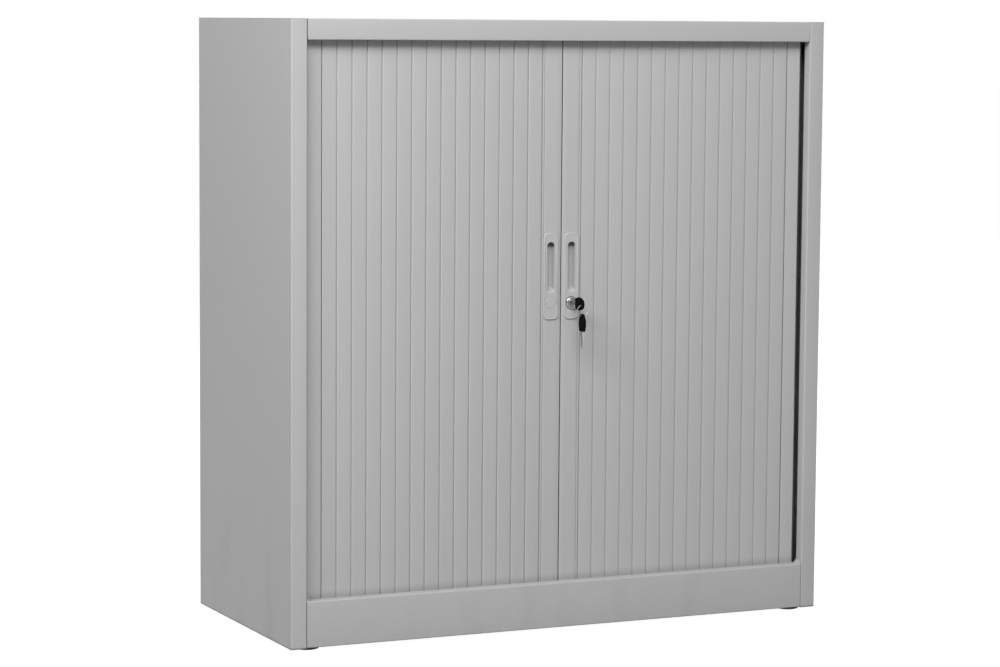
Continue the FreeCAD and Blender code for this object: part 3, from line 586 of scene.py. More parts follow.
def end_tree(tree, geometry, material):
    """Ends a Geometry Nodes tree with real instances that carry the material."""
    solid = add_node(tree, "GeometryNodeRealizeInstances", {"Geometry": geometry}).outputs[0]
    solid = add_node(tree, "GeometryNodeSetMaterial", {"Geometry": solid, "Material": material}).outputs[0]
    add_node(tree, "NodeGroupOutput", {"Geometry": solid})
    return tree


def vector_of(tree, **parts):
    """A vector out of its X, Y and Z."""
    return add_node(tree, "ShaderNodeCombineXYZ", parts).outputs[0]


def slat_tree():
    """Geometry Nodes tree of one slat, upright, from its inner to its outer edge."""
    numbers = (
        *("Side", "Inner Edge", "Width", "Lap", "Front", "Bottom", "Height", "Skin"),
        *("Rise", "Crown", "Dip", "Dip Width", "Roll", "Roll Width"),
        *("Dust And Shade Start", "Dust And Shade End", "Dust And Shade", "Tone"),
    )
    tree, given = new_geometry_group("roll_front_slat", numbers)

    rectangle_sizes = {"Width": given["Width"], "Height": given["Skin"]}
    section = add_node(
        tree, "GeometryNodeCurvePrimitiveQuadrilateral", rectangle_sizes, mode="RECTANGLE"
    ).outputs[0]
    rounding = {"Curve": section, "Radius": calculate(tree, "MULTIPLY", given["Skin"], 0.48), "Count": 5}
    section = add_node(tree, "GeometryNodeFilletCurve", rounding, mode="POLY").outputs[0]
    spacing = {"Curve": section, "Length": 0.25}
    section = add_node(tree, "GeometryNodeResampleCurve", spacing, mode="LENGTH").outputs[0]

    position = add_node(tree, "GeometryNodeInputPosition").outputs[0]
    place = add_node(tree, "ShaderNodeSeparateXYZ", {0: position}).outputs
    across = calculate(tree, "MULTIPLY_ADD", given["Width"], 0.5, place["X"])
    seen = calculate(tree, "SUBTRACT", given["Width"], given["Lap"])
    share = calculate(tree, "DIVIDE", calculate(tree, "SUBTRACT", across, given["Lap"]), seen)
    slope = calculate(tree, "MULTIPLY", given["Rise"], calculate(tree, "SUBTRACT", 1.0, share))
    spread = calculate(tree, "MULTIPLY_ADD", share, 2.0, -1.0)
    bulge = calculate(tree, "SUBTRACT", 1.0, calculate(tree, "MULTIPLY", spread, spread))
    bulge = calculate(tree, "MULTIPLY", bulge, given["Crown"])
    dip_start = calculate(tree, "SUBTRACT", given["Lap"], 0.4)
    dip_end = calculate(tree, "ADD", given["Lap"], given["Dip Width"])
    dip = ramp(tree, across, dip_start, dip_end, given["Dip"], 0.0)
    roll_start = calculate(tree, "SUBTRACT", given["Width"], given["Roll Width"])
    roll_off = ramp(tree, across, roll_start, given["Width"], 0.0, given["Roll"])
    depth = calculate(tree, "SUBTRACT", slope, bulge)
    depth = chain(tree, "ADD", depth, dip, roll_off, given["Front"], place["Y"])
    sideways = calculate(tree, "ADD", given["Inner Edge"], across)
    sideways = calculate(tree, "MULTIPLY", given["Side"], sideways)
    placed = vector_of(tree, X=sideways, Y=depth, Z=given["Bottom"])
    flat = add_node(tree, "GeometryNodeFillCurve", {"Curve": section}, mode="NGONS").outputs[0]
    end_face = add_node(tree, "GeometryNodeSetPosition", {"Geometry": flat, "Position": placed}).outputs[0]
    upwards = vector_of(tree, Z=given["Height"])
    raising = {"Mesh": end_face, "Offset": upwards, "Offset Scale": 1.0, "Individual": False}
    raised = add_node(tree, "GeometryNodeExtrudeMesh", raising, mode="FACES").outputs[0]
    whole = add_node(tree, "GeometryNodeJoinGeometry")
    for part in (raised, end_face):
        tree.links.new(part, whole.inputs[0])
    merging = {"Geometry": whole.outputs[0], "Distance": 0.01}
    whole = add_node(tree, "GeometryNodeMergeByDistance", merging).outputs[0]

    # Dust and painted shade along the lap: the joint is drawn darker, and rougher.
    from_lap = calculate(tree, "MULTIPLY", place["X"], given["Side"])
    from_lap = chain(tree, "SUBTRACT", from_lap, given["Inner Edge"], given["Lap"])
    dust_and_shade = ramp(tree, from_lap, given["Dust And Shade Start"], given["Dust And Shade End"], given["Dust And Shade"], 0.0)
    for name, value in (("dust_and_shade", dust_and_shade), ("tone", given["Tone"])):
        storing = {"Geometry": whole, "Name": name, "Value": value}
        whole = add_node(
            tree, "GeometryNodeStoreNamedAttribute", storing, data_type="FLOAT", domain="POINT"
        ).outputs[0]
    return end_tree(tree, whole, given["Material"])


def slat_finish():
    """Satin plastic, faint extrusion lines, dust and painted shade in the lap, painted shade at the foot,
    sparse specks.
    """
    material, tree, shader = new_material("grey_slat_plastic")
    place = add_node(tree, "ShaderNodeTexCoord").outputs["Object"]
    dust_and_shade = stored(tree, "dust_and_shade")
    grey = (0.435, 0.435, 0.435)
    skin = coat_on(tree, grey, roughness=0.4, peel_scale=600.0, cloud=0.03, smudge=0.02)
    drawn = add_node(tree, "ShaderNodeMapping", {"Vector": place, "Scale": (900.0, 900.0, 1.5)}).outputs[0]
    lines = noise(tree, drawn, 1.0, 3.0)
    cells = add_node(tree, "ShaderNodeTexVoronoi", {"Vector": place, "Scale": 9.0}, feature="F1")
    near = calculate(tree, "LESS_THAN", cells.outputs["Distance"], 0.0105)
    chosen = add_node(tree, "ShaderNodeSeparateXYZ", {0: cells.outputs["Color"]}).outputs["X"]
    specks = calculate(tree, "MULTIPLY", near, calculate(tree, "GREATER_THAN", chosen, 0.55))
    height = add_node(tree, "ShaderNodeSeparateXYZ", {0: place}).outputs["Z"]
    shade = chain(
        tree,
        "MULTIPLY",
        calculate(tree, "MULTIPLY_ADD", specks, -0.75, 1.0),
        calculate(tree, "SUBTRACT", 1.0, dust_and_shade),
        calculate(tree, "MULTIPLY_ADD", lines, 0.05, 0.975),
        calculate(tree, "ADD", stored(tree, "tone"), 1.0),
        # Painted shade: the slats are drawn darker towards their foot, above the plinth.
        ramp(tree, height, 0.084, 0.1, 0.76, 1.0),
    )
    colour = shaded(tree, skin["Colour"], shade)
    relief = calculate(tree, "MULTIPLY_ADD", lines, 1.4, skin["Height"])
    rough = calculate(tree, "MULTIPLY_ADD", dust_and_shade, 0.4, skin["Roughness"])
    set_surface(tree, shader, colour, rough, relief, 0.00002, {"Specular IOR Level": 0.4})
    return material


slat_plastic = slat_finish()
roll_front_slat = slat_tree()
slat_shape = {
    "Lap": 2.5,
    "Skin": 0.7,
    "Rise": 0.85,
    "Crown": 0.3,
    "Dip": 0.7,
    "Dip Width": 3.0,
    "Roll": 0.4,
    "Roll Width": 2.0,
    "Material": slat_plastic,
}
# Dust and painted shade in the joints, heavier at some, and on the right door further from the lap.
usual_dust_and_shade = 0.2
joint_dust_and_shade = {("left", 1): 0.35, ("left", 16): 0.9, ("right", 1): 0.5, ("right", 16): 0.75}
for side_name, side in (("left", -1), ("right", 1)):
    dust_and_shade_start = 0.9 if side > 0 else 0.2
    for number in range(1, 17):
        node = f"{side_name}_slat_{number:02d}"
        low, high = corners_of(node)
        sizes = {
            **slat_shape,
            "Side": float(side),
            "Inner Edge": low.x if side > 0 else -high.x,
            "Width": high.x - low.x,
            "Front": low.y + 0.45,
            "Bottom": low.z,
            "Height": high.z - low.z,
            "Dust And Shade Start": dust_and_shade_start,
            "Dust And Shade End": dust_and_shade_start + 1.3,
            "Dust And Shade": joint_dust_and_shade.get((side_name, number), usual_dust_and_shade),
            "Tone": 0.008 * math.sin(number * 2.4 + side),
        }
        slat = evaluated_mesh(f"{node}_face", roll_front_slat, sizes)
        finish_piece(f"{node}_face", slat, slat_plastic, node, [node], 28)


# Turned slats: the last three of each roll front stand behind the stile, already on their way
# round the corner, in the same plastic. The edge of the first shows beside the right-hand return.
turned_shape = {
    **slat_shape,
    "Side": 1.0,
    "Width": 26.7,
    "Lap": 0.5,
    "Front": 0.6,
    "Bottom": low.z,
    "Height": high.z - low.z,
    "Skin": 0.8,
    "Rise": 0.15,
    "Crown": 0.1,
    "Dip": 0.0,
    "Roll": 0.0,
    # Painted shade along the inner edge, behind the stile.
    "Dust And Shade Start": -0.4,
    "Dust And Shade End": 0.8,
    "Dust And Shade": 0.8,
}
turned_places = ((466.1, -201.0, 56.0), (483.3, -179.0, 84.0), (486.3, -151.5, 90.0))
turned_slats = []
for across, behind, turn in turned_places:
    turned = evaluated_mesh("turned_slat", roll_front_slat, turned_shape)
    turned.transform(Matrix.Translation((across, behind, 0)) @ Matrix.Rotation(math.radians(turn), 4, "Z"))
    mirrored = turned.copy()
    mirrored.transform(Matrix.Scale(-1, 4, (1, 0, 0)))
    turned_slats += [turned, mirrored]
corner_mesh = joined_mesh("corner_slat_faces", turned_slats)
finish_piece("corner_slat_faces", corner_mesh, slat_plastic, "cabinet", ["corner_slats"], 28)


# End slats: a stiff box extrusion at the meeting edge of each roll front, with a fine bead line
# before its outer lip and a window that the grip's cup goes through. The left one carries the
# keeper that the lock's cam turns behind.
box_depth = 14.0
bead_line = 33.0
lip_edge = 36.5
lip_thickness = 1.2
window_centre, window_half = 19.5, 9.3
window_low, window_high = 581.2, 670.8


def fill_between(work, *rings):
    """Flat faces inside the first ring, around the others."""
    edges = []
    for ring in rings:
        for index in range(len(ring)):
            pair = (ring[index - 1], ring[index])
            edges.append(work.edges.get(pair) or work.edges.new(pair))
    bmesh.ops.triangle_fill(work, use_beauty=True, use_dissolve=False, edges=edges)


def lead_mesh(name, side, low, high):
    """Box section with a lip, drawn upright in three lengths, so that the middle one has a window."""
    front, back = low.y, low.y + box_depth
    inner, wall, round_edge = 0.75, 1.5, 0.4
    cut_low, cut_high = window_centre - window_half, window_centre + window_half
    bead = ((-0.7, 0.0), (-0.35, 0.15), (0.0, 0.7), (0.3, 0.15), (0.9, 0.0))
    lip = ((-0.6, 0.0), (-0.2, 0.15), (0.0, 0.6), (-0.2, 1.05), (-0.6, lip_thickness))
    outer_loop = [
        *((inner + 0.3, front), (cut_low, front), (cut_high, front)),
        *((bead_line + x, front + y) for x, y in bead),
        *((lip_edge + x, front + y) for x, y in lip),
        *((bead_line, front + lip_thickness), (bead_line, back - round_edge)),
        *((bead_line - round_edge, back), (inner + round_edge, back), (inner, back - round_edge)),
        *((inner, front + lip_thickness), (inner, front + 0.3), (inner + 0.08, front + 0.08)),
    ]
    inner_loop = [
        *((inner + wall, front + wall), (cut_low, front + wall), (cut_high, front + wall)),
        *((bead_line - wall, front + wall), (bead_line - wall, back - wall), (inner + wall, back - wall)),
    ]
    levels = (low.z, window_low, window_high, high.z)
    work = bmesh.new()
    outers = [[work.verts.new((side * x, y, z)) for x, y in outer_loop] for z in levels]
    inners = [[work.verts.new((side * x, y, z)) for x, y in inner_loop] for z in levels]
    for loops in (outers, inners):
        size = len(loops[0])
        for level in range(3):
            for index in range(size):
                if level == 1 and index == 1:
                    continue
                ahead = (index + 1) % size
                lower, upper = loops[level], loops[level + 1]
                work.faces.new((lower[index], lower[ahead], upper[ahead], upper[index]))
    for point in (1, 2):
        work.faces.new((outers[1][point], inners[1][point], inners[2][point], outers[2][point]))
    for level in (1, 2):
        work.faces.new((outers[level][1], outers[level][2], inners[level][2], inners[level][1]))
    for level in (0, 3):
        fill_between(work, outers[level], inners[level])
    return mesh_from(work, name)


keeper_outline = rectangle(-14.0, 552.5, -4.0, 576.5)
for side_name, side in (("left", -1), ("right", 1)):
    node = f"{side_name}_lead_slat"
    low, high = corners_of(node)
    lead = lead_mesh(f"{side_name}_end_slat", side, low, high)
    if side < 0:
        keeper = flat_plate(
            "keeper", keeper_outline, low.y + box_depth, high.y, lambda x, z, y: (x, y, z), 0.4
        )
        lead = joined_mesh(f"{side_name}_end_slat", [lead, keeper])

    # Painted shade in the gap at the meeting edge and in the bead line, with dust.
    def end_slat_dust_and_shade(p):
        at_meeting_edge = abs(p.x) < 0.8 and p.y > low.y + 0.2
        in_bead_line = abs(abs(p.x) - bead_line) < 0.05 and p.y < low.y + 0.9
        return 0.9 if at_meeting_edge or in_bead_line else 0.0

    mark(lead, "dust_and_shade", end_slat_dust_and_shade)
    finish_piece(f"{side_name}_end_slat", lead, slat_plastic, f"{side_name}_door", [node], 50)


# Grip plates: moulded in the same grey, snapped onto the end slats. Each has a rounded rim and a
# sunk finger slot with a round top that ramps out at its foot. The left plate has a blank round
# place where the right one has the lock.
def rounded_loop(half_width, low, high, low_radius, high_radius, steps=10, stops=()):
    """Points round an upright rectangle with round corners. stops are heights along its sides."""
    points = []
    for centre_x, centre_z, radius, first in (
        (half_width - low_radius, low + low_radius, low_radius, -90),
        (half_width - high_radius, high - high_radius, high_radius, 0),
        (-half_width + high_radius, high - high_radius, high_radius, 90),
        (-half_width + low_radius, low + low_radius, low_radius, 180),
    ):
        if first == 0:
            points += [(half_width, stop) for stop in stops]
        if first == 180:
            points += [(-half_width, stop) for stop in reversed(stops)]
        for step in range(steps + 1):
            angle = math.radians(first + 90 * step / steps)
            points.append((centre_x + radius * math.cos(angle), centre_z + radius * math.sin(angle)))
    return points


def circle(radius, steps, centre=(0.0, 0.0)):
    """Points of a circle."""
    turns = [math.tau * step / steps for step in range(steps)]
    return [(centre[0] + radius * math.cos(turn), centre[1] + radius * math.sin(turn)) for turn in turns]


def add_loop(work, points):
    """New vertices of a mesh in progress, one for each point."""
    return [work.verts.new(point) for point in points]


def bridge(work, rings):
    """Faces between each ring and the next. All have the same number of vertices."""
    for first, second in zip(rings, rings[1:]):
        for index in range(len(first)):
            work.faces.new((first[index - 1], first[index], second[index], second[index - 1]))


def close_strip(work, ring):
    """Faces across a narrow ring whose right half is followed by its mirror image."""
    size = len(ring)
    for index in range(size // 2 - 1):
        work.faces.new((ring[index], ring[index + 1], ring[size - 2 - index], ring[size - 1 - index]))


slot_foot, slot_top = 46.0, 133.0
plate_thickness = 2.5


def grip_plate_mesh(name, low, high, blank_at):
    """Plate with a sunk slot between the corners of its node, and a blank place at a height."""
    work = bmesh.new()
    centre = (low.x + high.x) / 2
    face = low.y
    back_plane = face + plate_thickness
    field = face + 0.5
    half, radius = 13.75, 9.0
    slot_half, foot_radius, full_depth, wall = 7.5, 3.5, 12.4, 1.2
    slot_low, slot_high = low.z + slot_foot, low.z + slot_top
    ramp_low, ramp_high = slot_low + 1.0, slot_low + 10.0
    stops = [slot_low + 6.0 + step for step in range(6)] + [slot_low + 40.0, slot_low + 76.5]

    def rim(inset, y):
        corner = radius - inset
        outline = rounded_loop(half - inset, low.z + inset, high.z - inset, corner, corner)
        return add_loop(work, [(centre + x, y, z) for x, z in outline])

    def floor_depth(x, z):
        share = min(max((z - ramp_low) / (ramp_high - ramp_low), 0), 1)
        ramped = share * share * (3 - 2 * share)
        ridge = 0.6 * (1 - min(abs(x) / 3.0, 1)) ** 2
        return (full_depth - ridge) * max(ramped, 0.03)

    def slot(inset, sunk, push=0.0, least_y=-math.inf):
        foot, top = max(foot_radius - inset, 0.2), slot_half - inset
        outline = rounded_loop(top, slot_low + inset, slot_high - inset, foot, top, stops=stops)
        return add_loop(
            work,
            [(centre + x, max(field + floor_depth(x, z) * sunk + push, least_y), z) for x, z in outline],
        )

    rim_profile = (
        *((0.0, back_plane), (0.0, face + 1.5), (0.15, face + 0.9), (0.5, face + 0.4), (1.0, face + 0.1)),
        *((1.5, face), (2.1, face), (2.5, face + 0.15), (2.9, field)),
    )
    rim_rings = [rim(inset, y) for inset, y in rim_profile]
    bridge(work, rim_rings)
    floor_profile = (
        *((0.0, 0.0), (0.25, 0.04), (0.5, 0.16), (0.75, 0.45), (1.0, 0.75), (1.4, 0.92), (2.1, 0.985)),
        *((3.2, 1.0), (4.6, 1.0), (6.0, 1.0), (7.1, 1.0)),
    )
    floor_rings = [slot(inset, sunk) for inset, sunk in floor_profile]
    bridge(work, floor_rings)
    close_strip(work, floor_rings[-1])
    openings = [rim_rings[-1], floor_rings[0]]
    if blank_at:
        blank_profile = ((11.0, 0.0), (10.6, 0.45), (9.9, 0.45), (9.2, -0.15), (8.4, -0.2), (4.0, 0.05))
        circles = []
        for size, sunk in blank_profile:
            outline = circle(size, 40, (centre, blank_at))
            circles.append(add_loop(work, [(x, field + sunk, z) for x, z in outline]))
        bridge(work, circles)
        work.faces.new(circles[-1])
        openings.append(circles[0])
    fill_between(work, *openings)
    cup_profile = (
        *((-wall, 0.0, back_plane - field), (0.0, 0.75, wall), (1.4, 0.92, wall)),
        *((3.2, 1.0, wall), (6.0, 1.0, wall)),
    )
    cup_rings = [slot(inset, sunk, push, back_plane) for inset, sunk, push in cup_profile]
    bridge(work, cup_rings)
    close_strip(work, cup_rings[-1])
    fill_between(work, rim_rings[0], cup_rings[0])
    return mesh_from(work, name)


grip_plastic = coated_material(
    "grey_grip_plastic", (0.45, 0.45, 0.45), roughness=0.42, peel_scale=1500.0, peel_depth=0.00003, cloud=0.02
)
slot_cap_shade = 0.62
lock_low, lock_high = corners_of("lock_plug")
lock_x = (lock_low.x + lock_high.x) / 2
lock_z = (lock_low.z + lock_high.z) / 2
for side_name, side in (("left", -1), ("right", 1)):
    node = f"{side_name}_handle_plate"
    low, high = corners_of(node)
    plate = grip_plate_mesh(f"{side_name}_grip", low, high, lock_z if side < 0 else None)

    # Painted shadow under the round top of the slot, on its floor.
    def cap_shade(p):
        nearness = min(max((p.z - low.z - slot_top + 11) / 4, 0), 1)
        return slot_cap_shade * nearness if p.y > low.y + 5 else 0.0

    mark(plate, "painted_shade", cap_shade)
    finish_piece(f"{side_name}_grip", plate, grip_plastic, f"{side_name}_door", [node], 35)


# Cylinder lock: turned and chromed bezel on a barrel, held from behind by a hexagon nut, with a
# plug whose face is sunk in the bezel and slotted for the key. The cam on the plug's back end
# turns behind the left end slat. It and the feet's brackets are zinc-plated sheet.
def metal_group():
    """Skin of bare or plated metal: faint stains, and fine scratches that run along one way."""
    inputs = {"Colour": "Color", "Roughness": "Float", "Scratch Scale": "Float", "Stretch": "Vector"}
    outputs = {"Colour": "Color", "Roughness": "Float", "Height": "Float"}
    tree, given = new_group("metal_skin", "ShaderNodeTree", inputs, outputs)
    place = add_node(tree, "ShaderNodeTexCoord").outputs["Object"]
    drawn = add_node(tree, "ShaderNodeMapping", {"Vector": place, "Scale": given["Stretch"]}).outputs[0]
    scratches = noise(tree, drawn, given["Scratch Scale"], 3.0)
    tone = calculate(tree, "MULTIPLY_ADD", noise(tree, place, 120.0, 3.0), 0.16, 0.92)
    colour = shaded(tree, given["Colour"], tone)
    rough = calculate(tree, "MULTIPLY_ADD", scratches, 0.12, given["Roughness"])
    add_node(tree, "NodeGroupOutput", {"Colour": colour, "Roughness": rough, "Height": scratches})
    return tree


metal_skin = metal_group()


def metal_material(name, colour, roughness, scratch_scale, scratch_depth, stretch):
    """Bare or plated metal. stretch squeezes the scratches along each way."""
    material, tree, shader = new_material(name)
    inputs = {
        "Colour": (*colour, 1),
        "Roughness": roughness,
        "Scratch Scale": scratch_scale,
        "Stretch": stretch,
    }
    skin = add_node(tree, "ShaderNodeGroup", inputs, node_tree=metal_skin).outputs
    others = {"Metallic": 1.0}
    set_surface(tree, shader, skin["Colour"], skin["Roughness"], skin["Height"], scratch_depth, others)
    return material


def turned_rings(work, profile, steps=48):
    """Rings of a piece turned about the lock's axis, one for each (radius, y) of its profile."""
    outlines = [(y, circle(radius, steps, (lock_x, lock_z))) for radius, y in profile]
    return [add_loop(work, [(x, y, z) for x, z in outline]) for y, outline in outlines]


lock_chrome = metal_material(
    "lock_chrome",
    (0.27, 0.27, 0.275),
    roughness=0.2,
    scratch_scale=900.0,
    scratch_depth=0.000006,
    stretch=(1.0, 0.2, 1.0),
)
low, high = corners_of("lock_barrel")
seat = low.y + 4.0
bezel_profile = (
    *((8.0, 0.0), (10.5, 0.0), (11.0, -0.5), (11.0, -1.2), (10.75, -2.1), (10.1, -3.0), (9.2, -3.7)),
    *((8.4, -4.0), (7.9, -3.9), (7.6, -3.3), (7.3, -2.5), (6.9, -2.3), (6.3, -2.6)),
)
barrel_profile = [(radius, seat + ahead) for radius, ahead in bezel_profile]
barrel_profile += [(6.3, high.y), (7.6, high.y), (8.0, high.y - 0.4)]
barrel_work = bmesh.new()
barrel_rings = turned_rings(barrel_work, barrel_profile)
bridge(barrel_work, barrel_rings + barrel_rings[:1])
nut_front, nut_back, nut_hole = high.y - 3.4, high.y - 0.4, circle(8.05, 32)
nut = flat_plate(
    "nut", circle(11.0, 6), nut_front, nut_back, lambda x, z, y: (lock_x + x, y, lock_z + z), 0.35, [nut_hole]
)
bezel = joined_mesh("lock_bezel", [mesh_from(barrel_work, "lock_bezel"), nut])
finish_piece("lock_bezel", bezel, lock_chrome, "right_door", ["lock_barrel"], 40)

plug_work = bmesh.new()
plug_face = lock_low.y + 1.5
plug_profile = [
    *((5.0, plug_face), (5.2, plug_face - 0.2), (5.6, plug_face - 0.15), (6.0, plug_face + 0.1)),
    *((6.2, plug_face + 0.5), (6.2, lock_high.y)),
]
plug_rings = turned_rings(plug_work, plug_profile)
bridge(plug_work, plug_rings)
plug_work.faces.new(plug_rings[-1])
key_slot = rounded_loop(1.1, -4.0, 4.0, 0.5, 0.5, 3)
slot_rings = [
    add_loop(plug_work, [(lock_x + x, y, lock_z + z) for x, z in key_slot])
    for y in (plug_face, lock_low.y + 14.0)
]
bridge(plug_work, slot_rings)
plug_work.faces.new(slot_rings[1])
fill_between(plug_work, plug_rings[0], slot_rings[0])
plug = mesh_from(plug_work, "plug")
finish_piece("plug", plug, lock_chrome, "lock", ["lock_plug"], 40)
zinc_steel = metal_material(
    "zinc_plated_steel",
    (0.55, 0.56, 0.58),
    roughness=0.34,
    scratch_scale=500.0,
    scratch_depth=0.00001,
    stretch=(1.0, 1.0, 0.4),
)
paint_nodes(zinc_steel, "lock_cam", "foot_brackets")


# Keys: cut nickel-plated blades in black moulded bows with an eye. One stands in the lock, and the
# spare hangs from it on a split ring of wire.
def arc_between(start, end, radius, steps=14):
    """Points on the arc from start to end that bulges to the right of the way there."""
    start, end = Vector(start), Vector(end)
    chord = end - start
    right_hand = Vector((chord.y, -chord.x)).normalized()
    centre = (start + end) / 2 - right_hand * math.sqrt(radius**2 - (chord.length / 2) ** 2)
    sweep = 2 * math.asin(chord.length / 2 / radius)
    return [
        tuple(centre + Matrix.Rotation(sweep * step / steps, 2) @ (start - centre)) for step in range(steps)
    ]


bow_outline = [
    *arc_between((0, -8.0), (24.0, -8.5), 26.0),
    *arc_between((24.0, -8.5), (24.0, 8.5), 9.0),
    *arc_between((24.0, 8.5), (0, 8.0), 26.0),
    *((0.0, 8.0), (0.0, 4.0), (0.0, -4.0)),
]
bow_eye = circle(2.2, 24, (25.0, 0.0))
blade_outline = [(-9.0, -3.8), (-9.0, 3.8)]
for step, cut in enumerate((0.9, 1.7, 0.6, 1.4, 1.1)):
    blade_outline += [(-11.0 - 2.9 * step, 3.6), (-12.4 - 2.9 * step, 3.8 - cut)]
blade_outline += [(-26.0, 2.4), (-27.0, 1.0), (-27.0, -2.6), (-25.8, -3.8)]
blade_outline.reverse()


def key_meshes(name, place):
    """Bow and blade of one key. place puts (along, across, through) in 3-D."""
    bow = flat_plate(f"{name}_bow", bow_outline, -2.0, 2.0, place, 0.9, [bow_eye], 4)
    collar = flat_plate(f"{name}_collar", rectangle(-9.0, -3.75, 0.0, 3.75), -1.8, 1.8, place, 0.5)
    blade = flat_plate(f"{name}_blade", blade_outline, -0.9, 0.9, place, 0.12)
    return bow, joined_mesh(f"{name}_steel", [collar, blade])


black_plastic = coated_material(
    "black_key_plastic",
    (0.004, 0.004, 0.004),
    roughness=0.42,
    peel_scale=1200.0,
    peel_depth=0.00003,
    cloud=0.2,
    gloss=0.02,
)
key_steel = metal_material(
    "nickel_key_steel",
    (0.4, 0.395, 0.38),
    roughness=0.34,
    scratch_scale=1500.0,
    scratch_depth=0.000006,
    stretch=(1.0, 1.0, 0.15),
)
bow_back = corners_of("key_bow")[1].y
spare_low, spare_high = corners_of("spare_key_bow")
spare_y = (spare_low.y + spare_high.y) / 2
for key, place in (
    ("key", lambda along, across, through: (lock_x + through, bow_back - along, lock_z + across)),
    ("spare_key", lambda along, across, through: (lock_x + through, spare_y + across, spare_low.z + along)),
):
    bow, blade = key_meshes(key, place)
    finish_piece(f"{key}_grip", bow, black_plastic, key, [f"{key}_bow"], 40)
    finish_piece(f"{key}_steel", blade, key_steel, key, [f"{key}_blade"], 35)

low, high = corners_of("key_ring")
ring_centre = (low + high) / 2
wire_radius, turn_radius = 0.34, (high.x - low.x) / 2 - 0.7
turn_steps, first_angle, turn_gap = 96, 0.6, 0.7
last_step = 2 * turn_steps - 4
depthwise = Vector((0, 1, 0))
ring_work = bmesh.new()
wire_rings = []
for step in range(last_step + 1):
    angle = math.tau * step / turn_steps + first_angle
    crossing = min(max((step / last_step - 0.46) / 0.08, 0), 1)
    outward = Vector((math.cos(angle), 0, math.sin(angle)))
    middle = ring_centre + depthwise * turn_gap * (crossing - 0.5) + outward * turn_radius
    wire = [middle + outward * out + depthwise * deep for out, deep in circle(wire_radius, 8)]
    wire_rings.append(add_loop(ring_work, wire))
bridge(ring_work, wire_rings)
for end in (wire_rings[0], wire_rings[-1]):
    ring_work.faces.new(end)
split_ring = mesh_from(ring_work, "split_ring")
finish_piece("split_ring", split_ring, key_steel, "ring", ["key_ring"], 50)


# Feet: black plastic pads on threaded stems, screwed into the corner brackets, so that the cabinet
# can be levelled. Shelf clips: bent zinc-plated steel that hooks into the liners' slots.
def grid_tree():
    """Geometry Nodes tree that puts the given piece on the points of a level grid."""
    tree, given = new_geometry_group("placed_on_grid", ("Width", "Depth"), ("Columns", "Rows"))
    sizes = {
        "Size X": given["Width"],
        "Size Y": given["Depth"],
        "Vertices X": given["Columns"],
        "Vertices Y": given["Rows"],
    }
    grid = add_node(tree, "GeometryNodeMeshGrid", sizes).outputs[0]
    placing = {"Points": grid, "Instance": given["Geometry"]}
    copies = add_node(tree, "GeometryNodeInstanceOnPoints", placing).outputs[0]
    return end_tree(tree, copies, given["Material"])


low, high = corners_of("levelling_feet")
pad_radius, stem_radius, thread_root, thread_pitch = 22.0, 4.0, 3.35, 1.25
foot_profile = [
    *((0.0, 0.0), (17.0, 0.0), (18.6, 0.4), (20.2, 1.2), (21.4, 2.2), (pad_radius, 3.2), (21.6, 3.9)),
    *((20.6, 4.2), (8.0, 4.4), (stem_radius, 4.4)),
]
turn_z = 5.2
while turn_z < high.z - 1.6:
    foot_profile += [(thread_root, turn_z), (stem_radius, turn_z + thread_pitch / 2)]
    turn_z += thread_pitch
foot_profile += [(thread_root, high.z - 0.6), (2.8, high.z), (0.0, high.z)]
foot_work = bmesh.new()
foot_rings = [add_loop(foot_work, [(x, y, z) for x, y in circle(radius, 40)]) for radius, z in foot_profile]
bridge(foot_work, foot_rings)
bmesh.ops.remove_doubles(foot_work, verts=foot_work.verts, dist=1e-4)
foot_plastic = coated_material(
    "black_foot_plastic",
    (0.018, 0.018, 0.018),
    roughness=0.5,
    peel_scale=700.0,
    peel_depth=0.00006,
    cloud=0.1,
)
foot_places = {
    "Width": high.x - low.x - 2 * pad_radius,
    "Depth": high.y - low.y - 2 * pad_radius,
    "Columns": 2,
    "Rows": 2,
    "Material": foot_plastic,
}
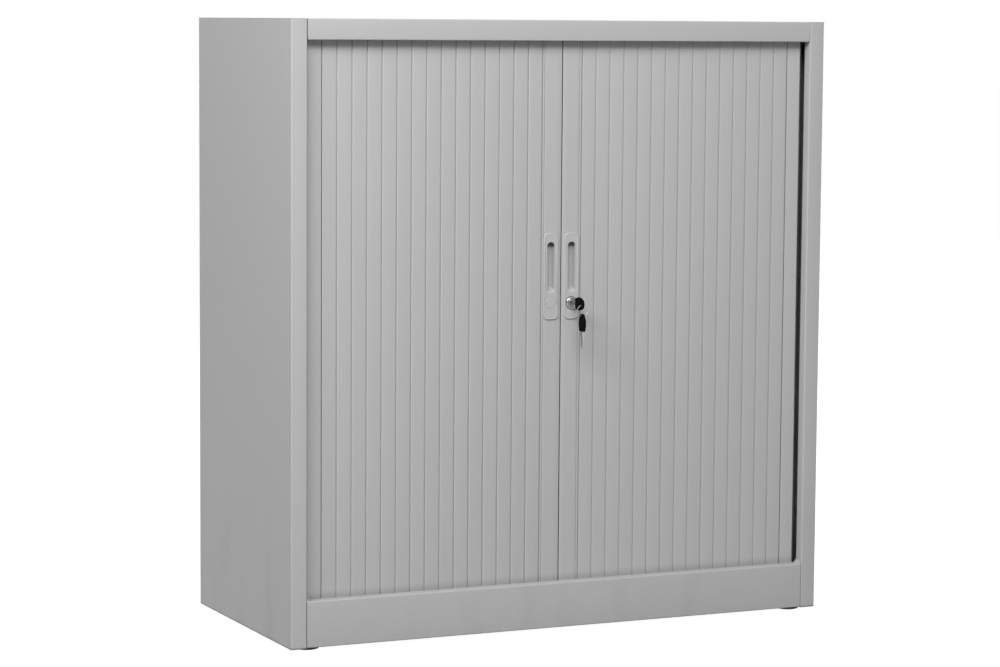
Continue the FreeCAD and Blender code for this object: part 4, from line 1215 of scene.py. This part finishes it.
feet = evaluated_mesh("levelling_feet_pads", grid_tree(), foot_places, mesh_from(foot_work, "foot"))
finish_piece("levelling_feet_pads", feet, foot_plastic, "feet", ["levelling_feet"], 40)
paint_nodes(zinc_steel, "shelf_clips")


# Back rivets: zinc-plated pop rivets with domed heads, set after the coat. They hold the back
# sheet to the side panels' flanges in two upright rows of eight.
def rivet_row_tree():
    """Geometry Nodes tree of two upright rows of domed rivet heads that face backwards."""
    numbers = ("Half Width", "Lowest", "Spacing", "Sheet Face", "Head Radius", "Head Height")
    tree, given = new_geometry_group("rivet_rows", numbers, ("Rivets",))
    ball = {"Segments": 20, "Rings": 10, "Radius": given["Head Radius"]}
    head = add_node(tree, "GeometryNodeMeshUVSphere", ball).outputs[0]
    flatness = calculate(tree, "DIVIDE", given["Head Height"], given["Head Radius"])
    squash = vector_of(tree, X=1.0, Y=flatness, Z=1.0)
    step = vector_of(tree, Z=given["Spacing"])
    rows = add_node(tree, "GeometryNodeJoinGeometry")
    for side in (-1.0, 1.0):
        across = calculate(tree, "MULTIPLY", given["Half Width"], side)
        start = vector_of(tree, X=across, Y=given["Sheet Face"], Z=given["Lowest"])
        line = {"Count": given["Rivets"], "Start Location": start, "Offset": step}
        points = add_node(tree, "GeometryNodeMeshLine", line, mode="OFFSET").outputs[0]
        placing = {"Points": points, "Instance": head, "Scale": squash}
        row = add_node(tree, "GeometryNodeInstanceOnPoints", placing)
        tree.links.new(row.outputs[0], rows.inputs[0])
    return end_tree(tree, rows.outputs[0], given["Material"])


low, high = corners_of("back_panel")
rivet_margin = 35.0
rivet_sizes = {
    "Half Width": high.x - 10.0,
    "Lowest": low.z + rivet_margin,
    "Spacing": (high.z - low.z - 2 * rivet_margin) / 7,
    "Sheet Face": high.y,
    "Head Radius": 4.8,
    "Head Height": 1.3,
    "Rivets": 8,
    "Material": zinc_steel,
}
rivets = evaluated_mesh("back_rivets", rivet_row_tree(), rivet_sizes)
finish_piece("back_rivets", rivets, zinc_steel, "cabinet", (), 50)
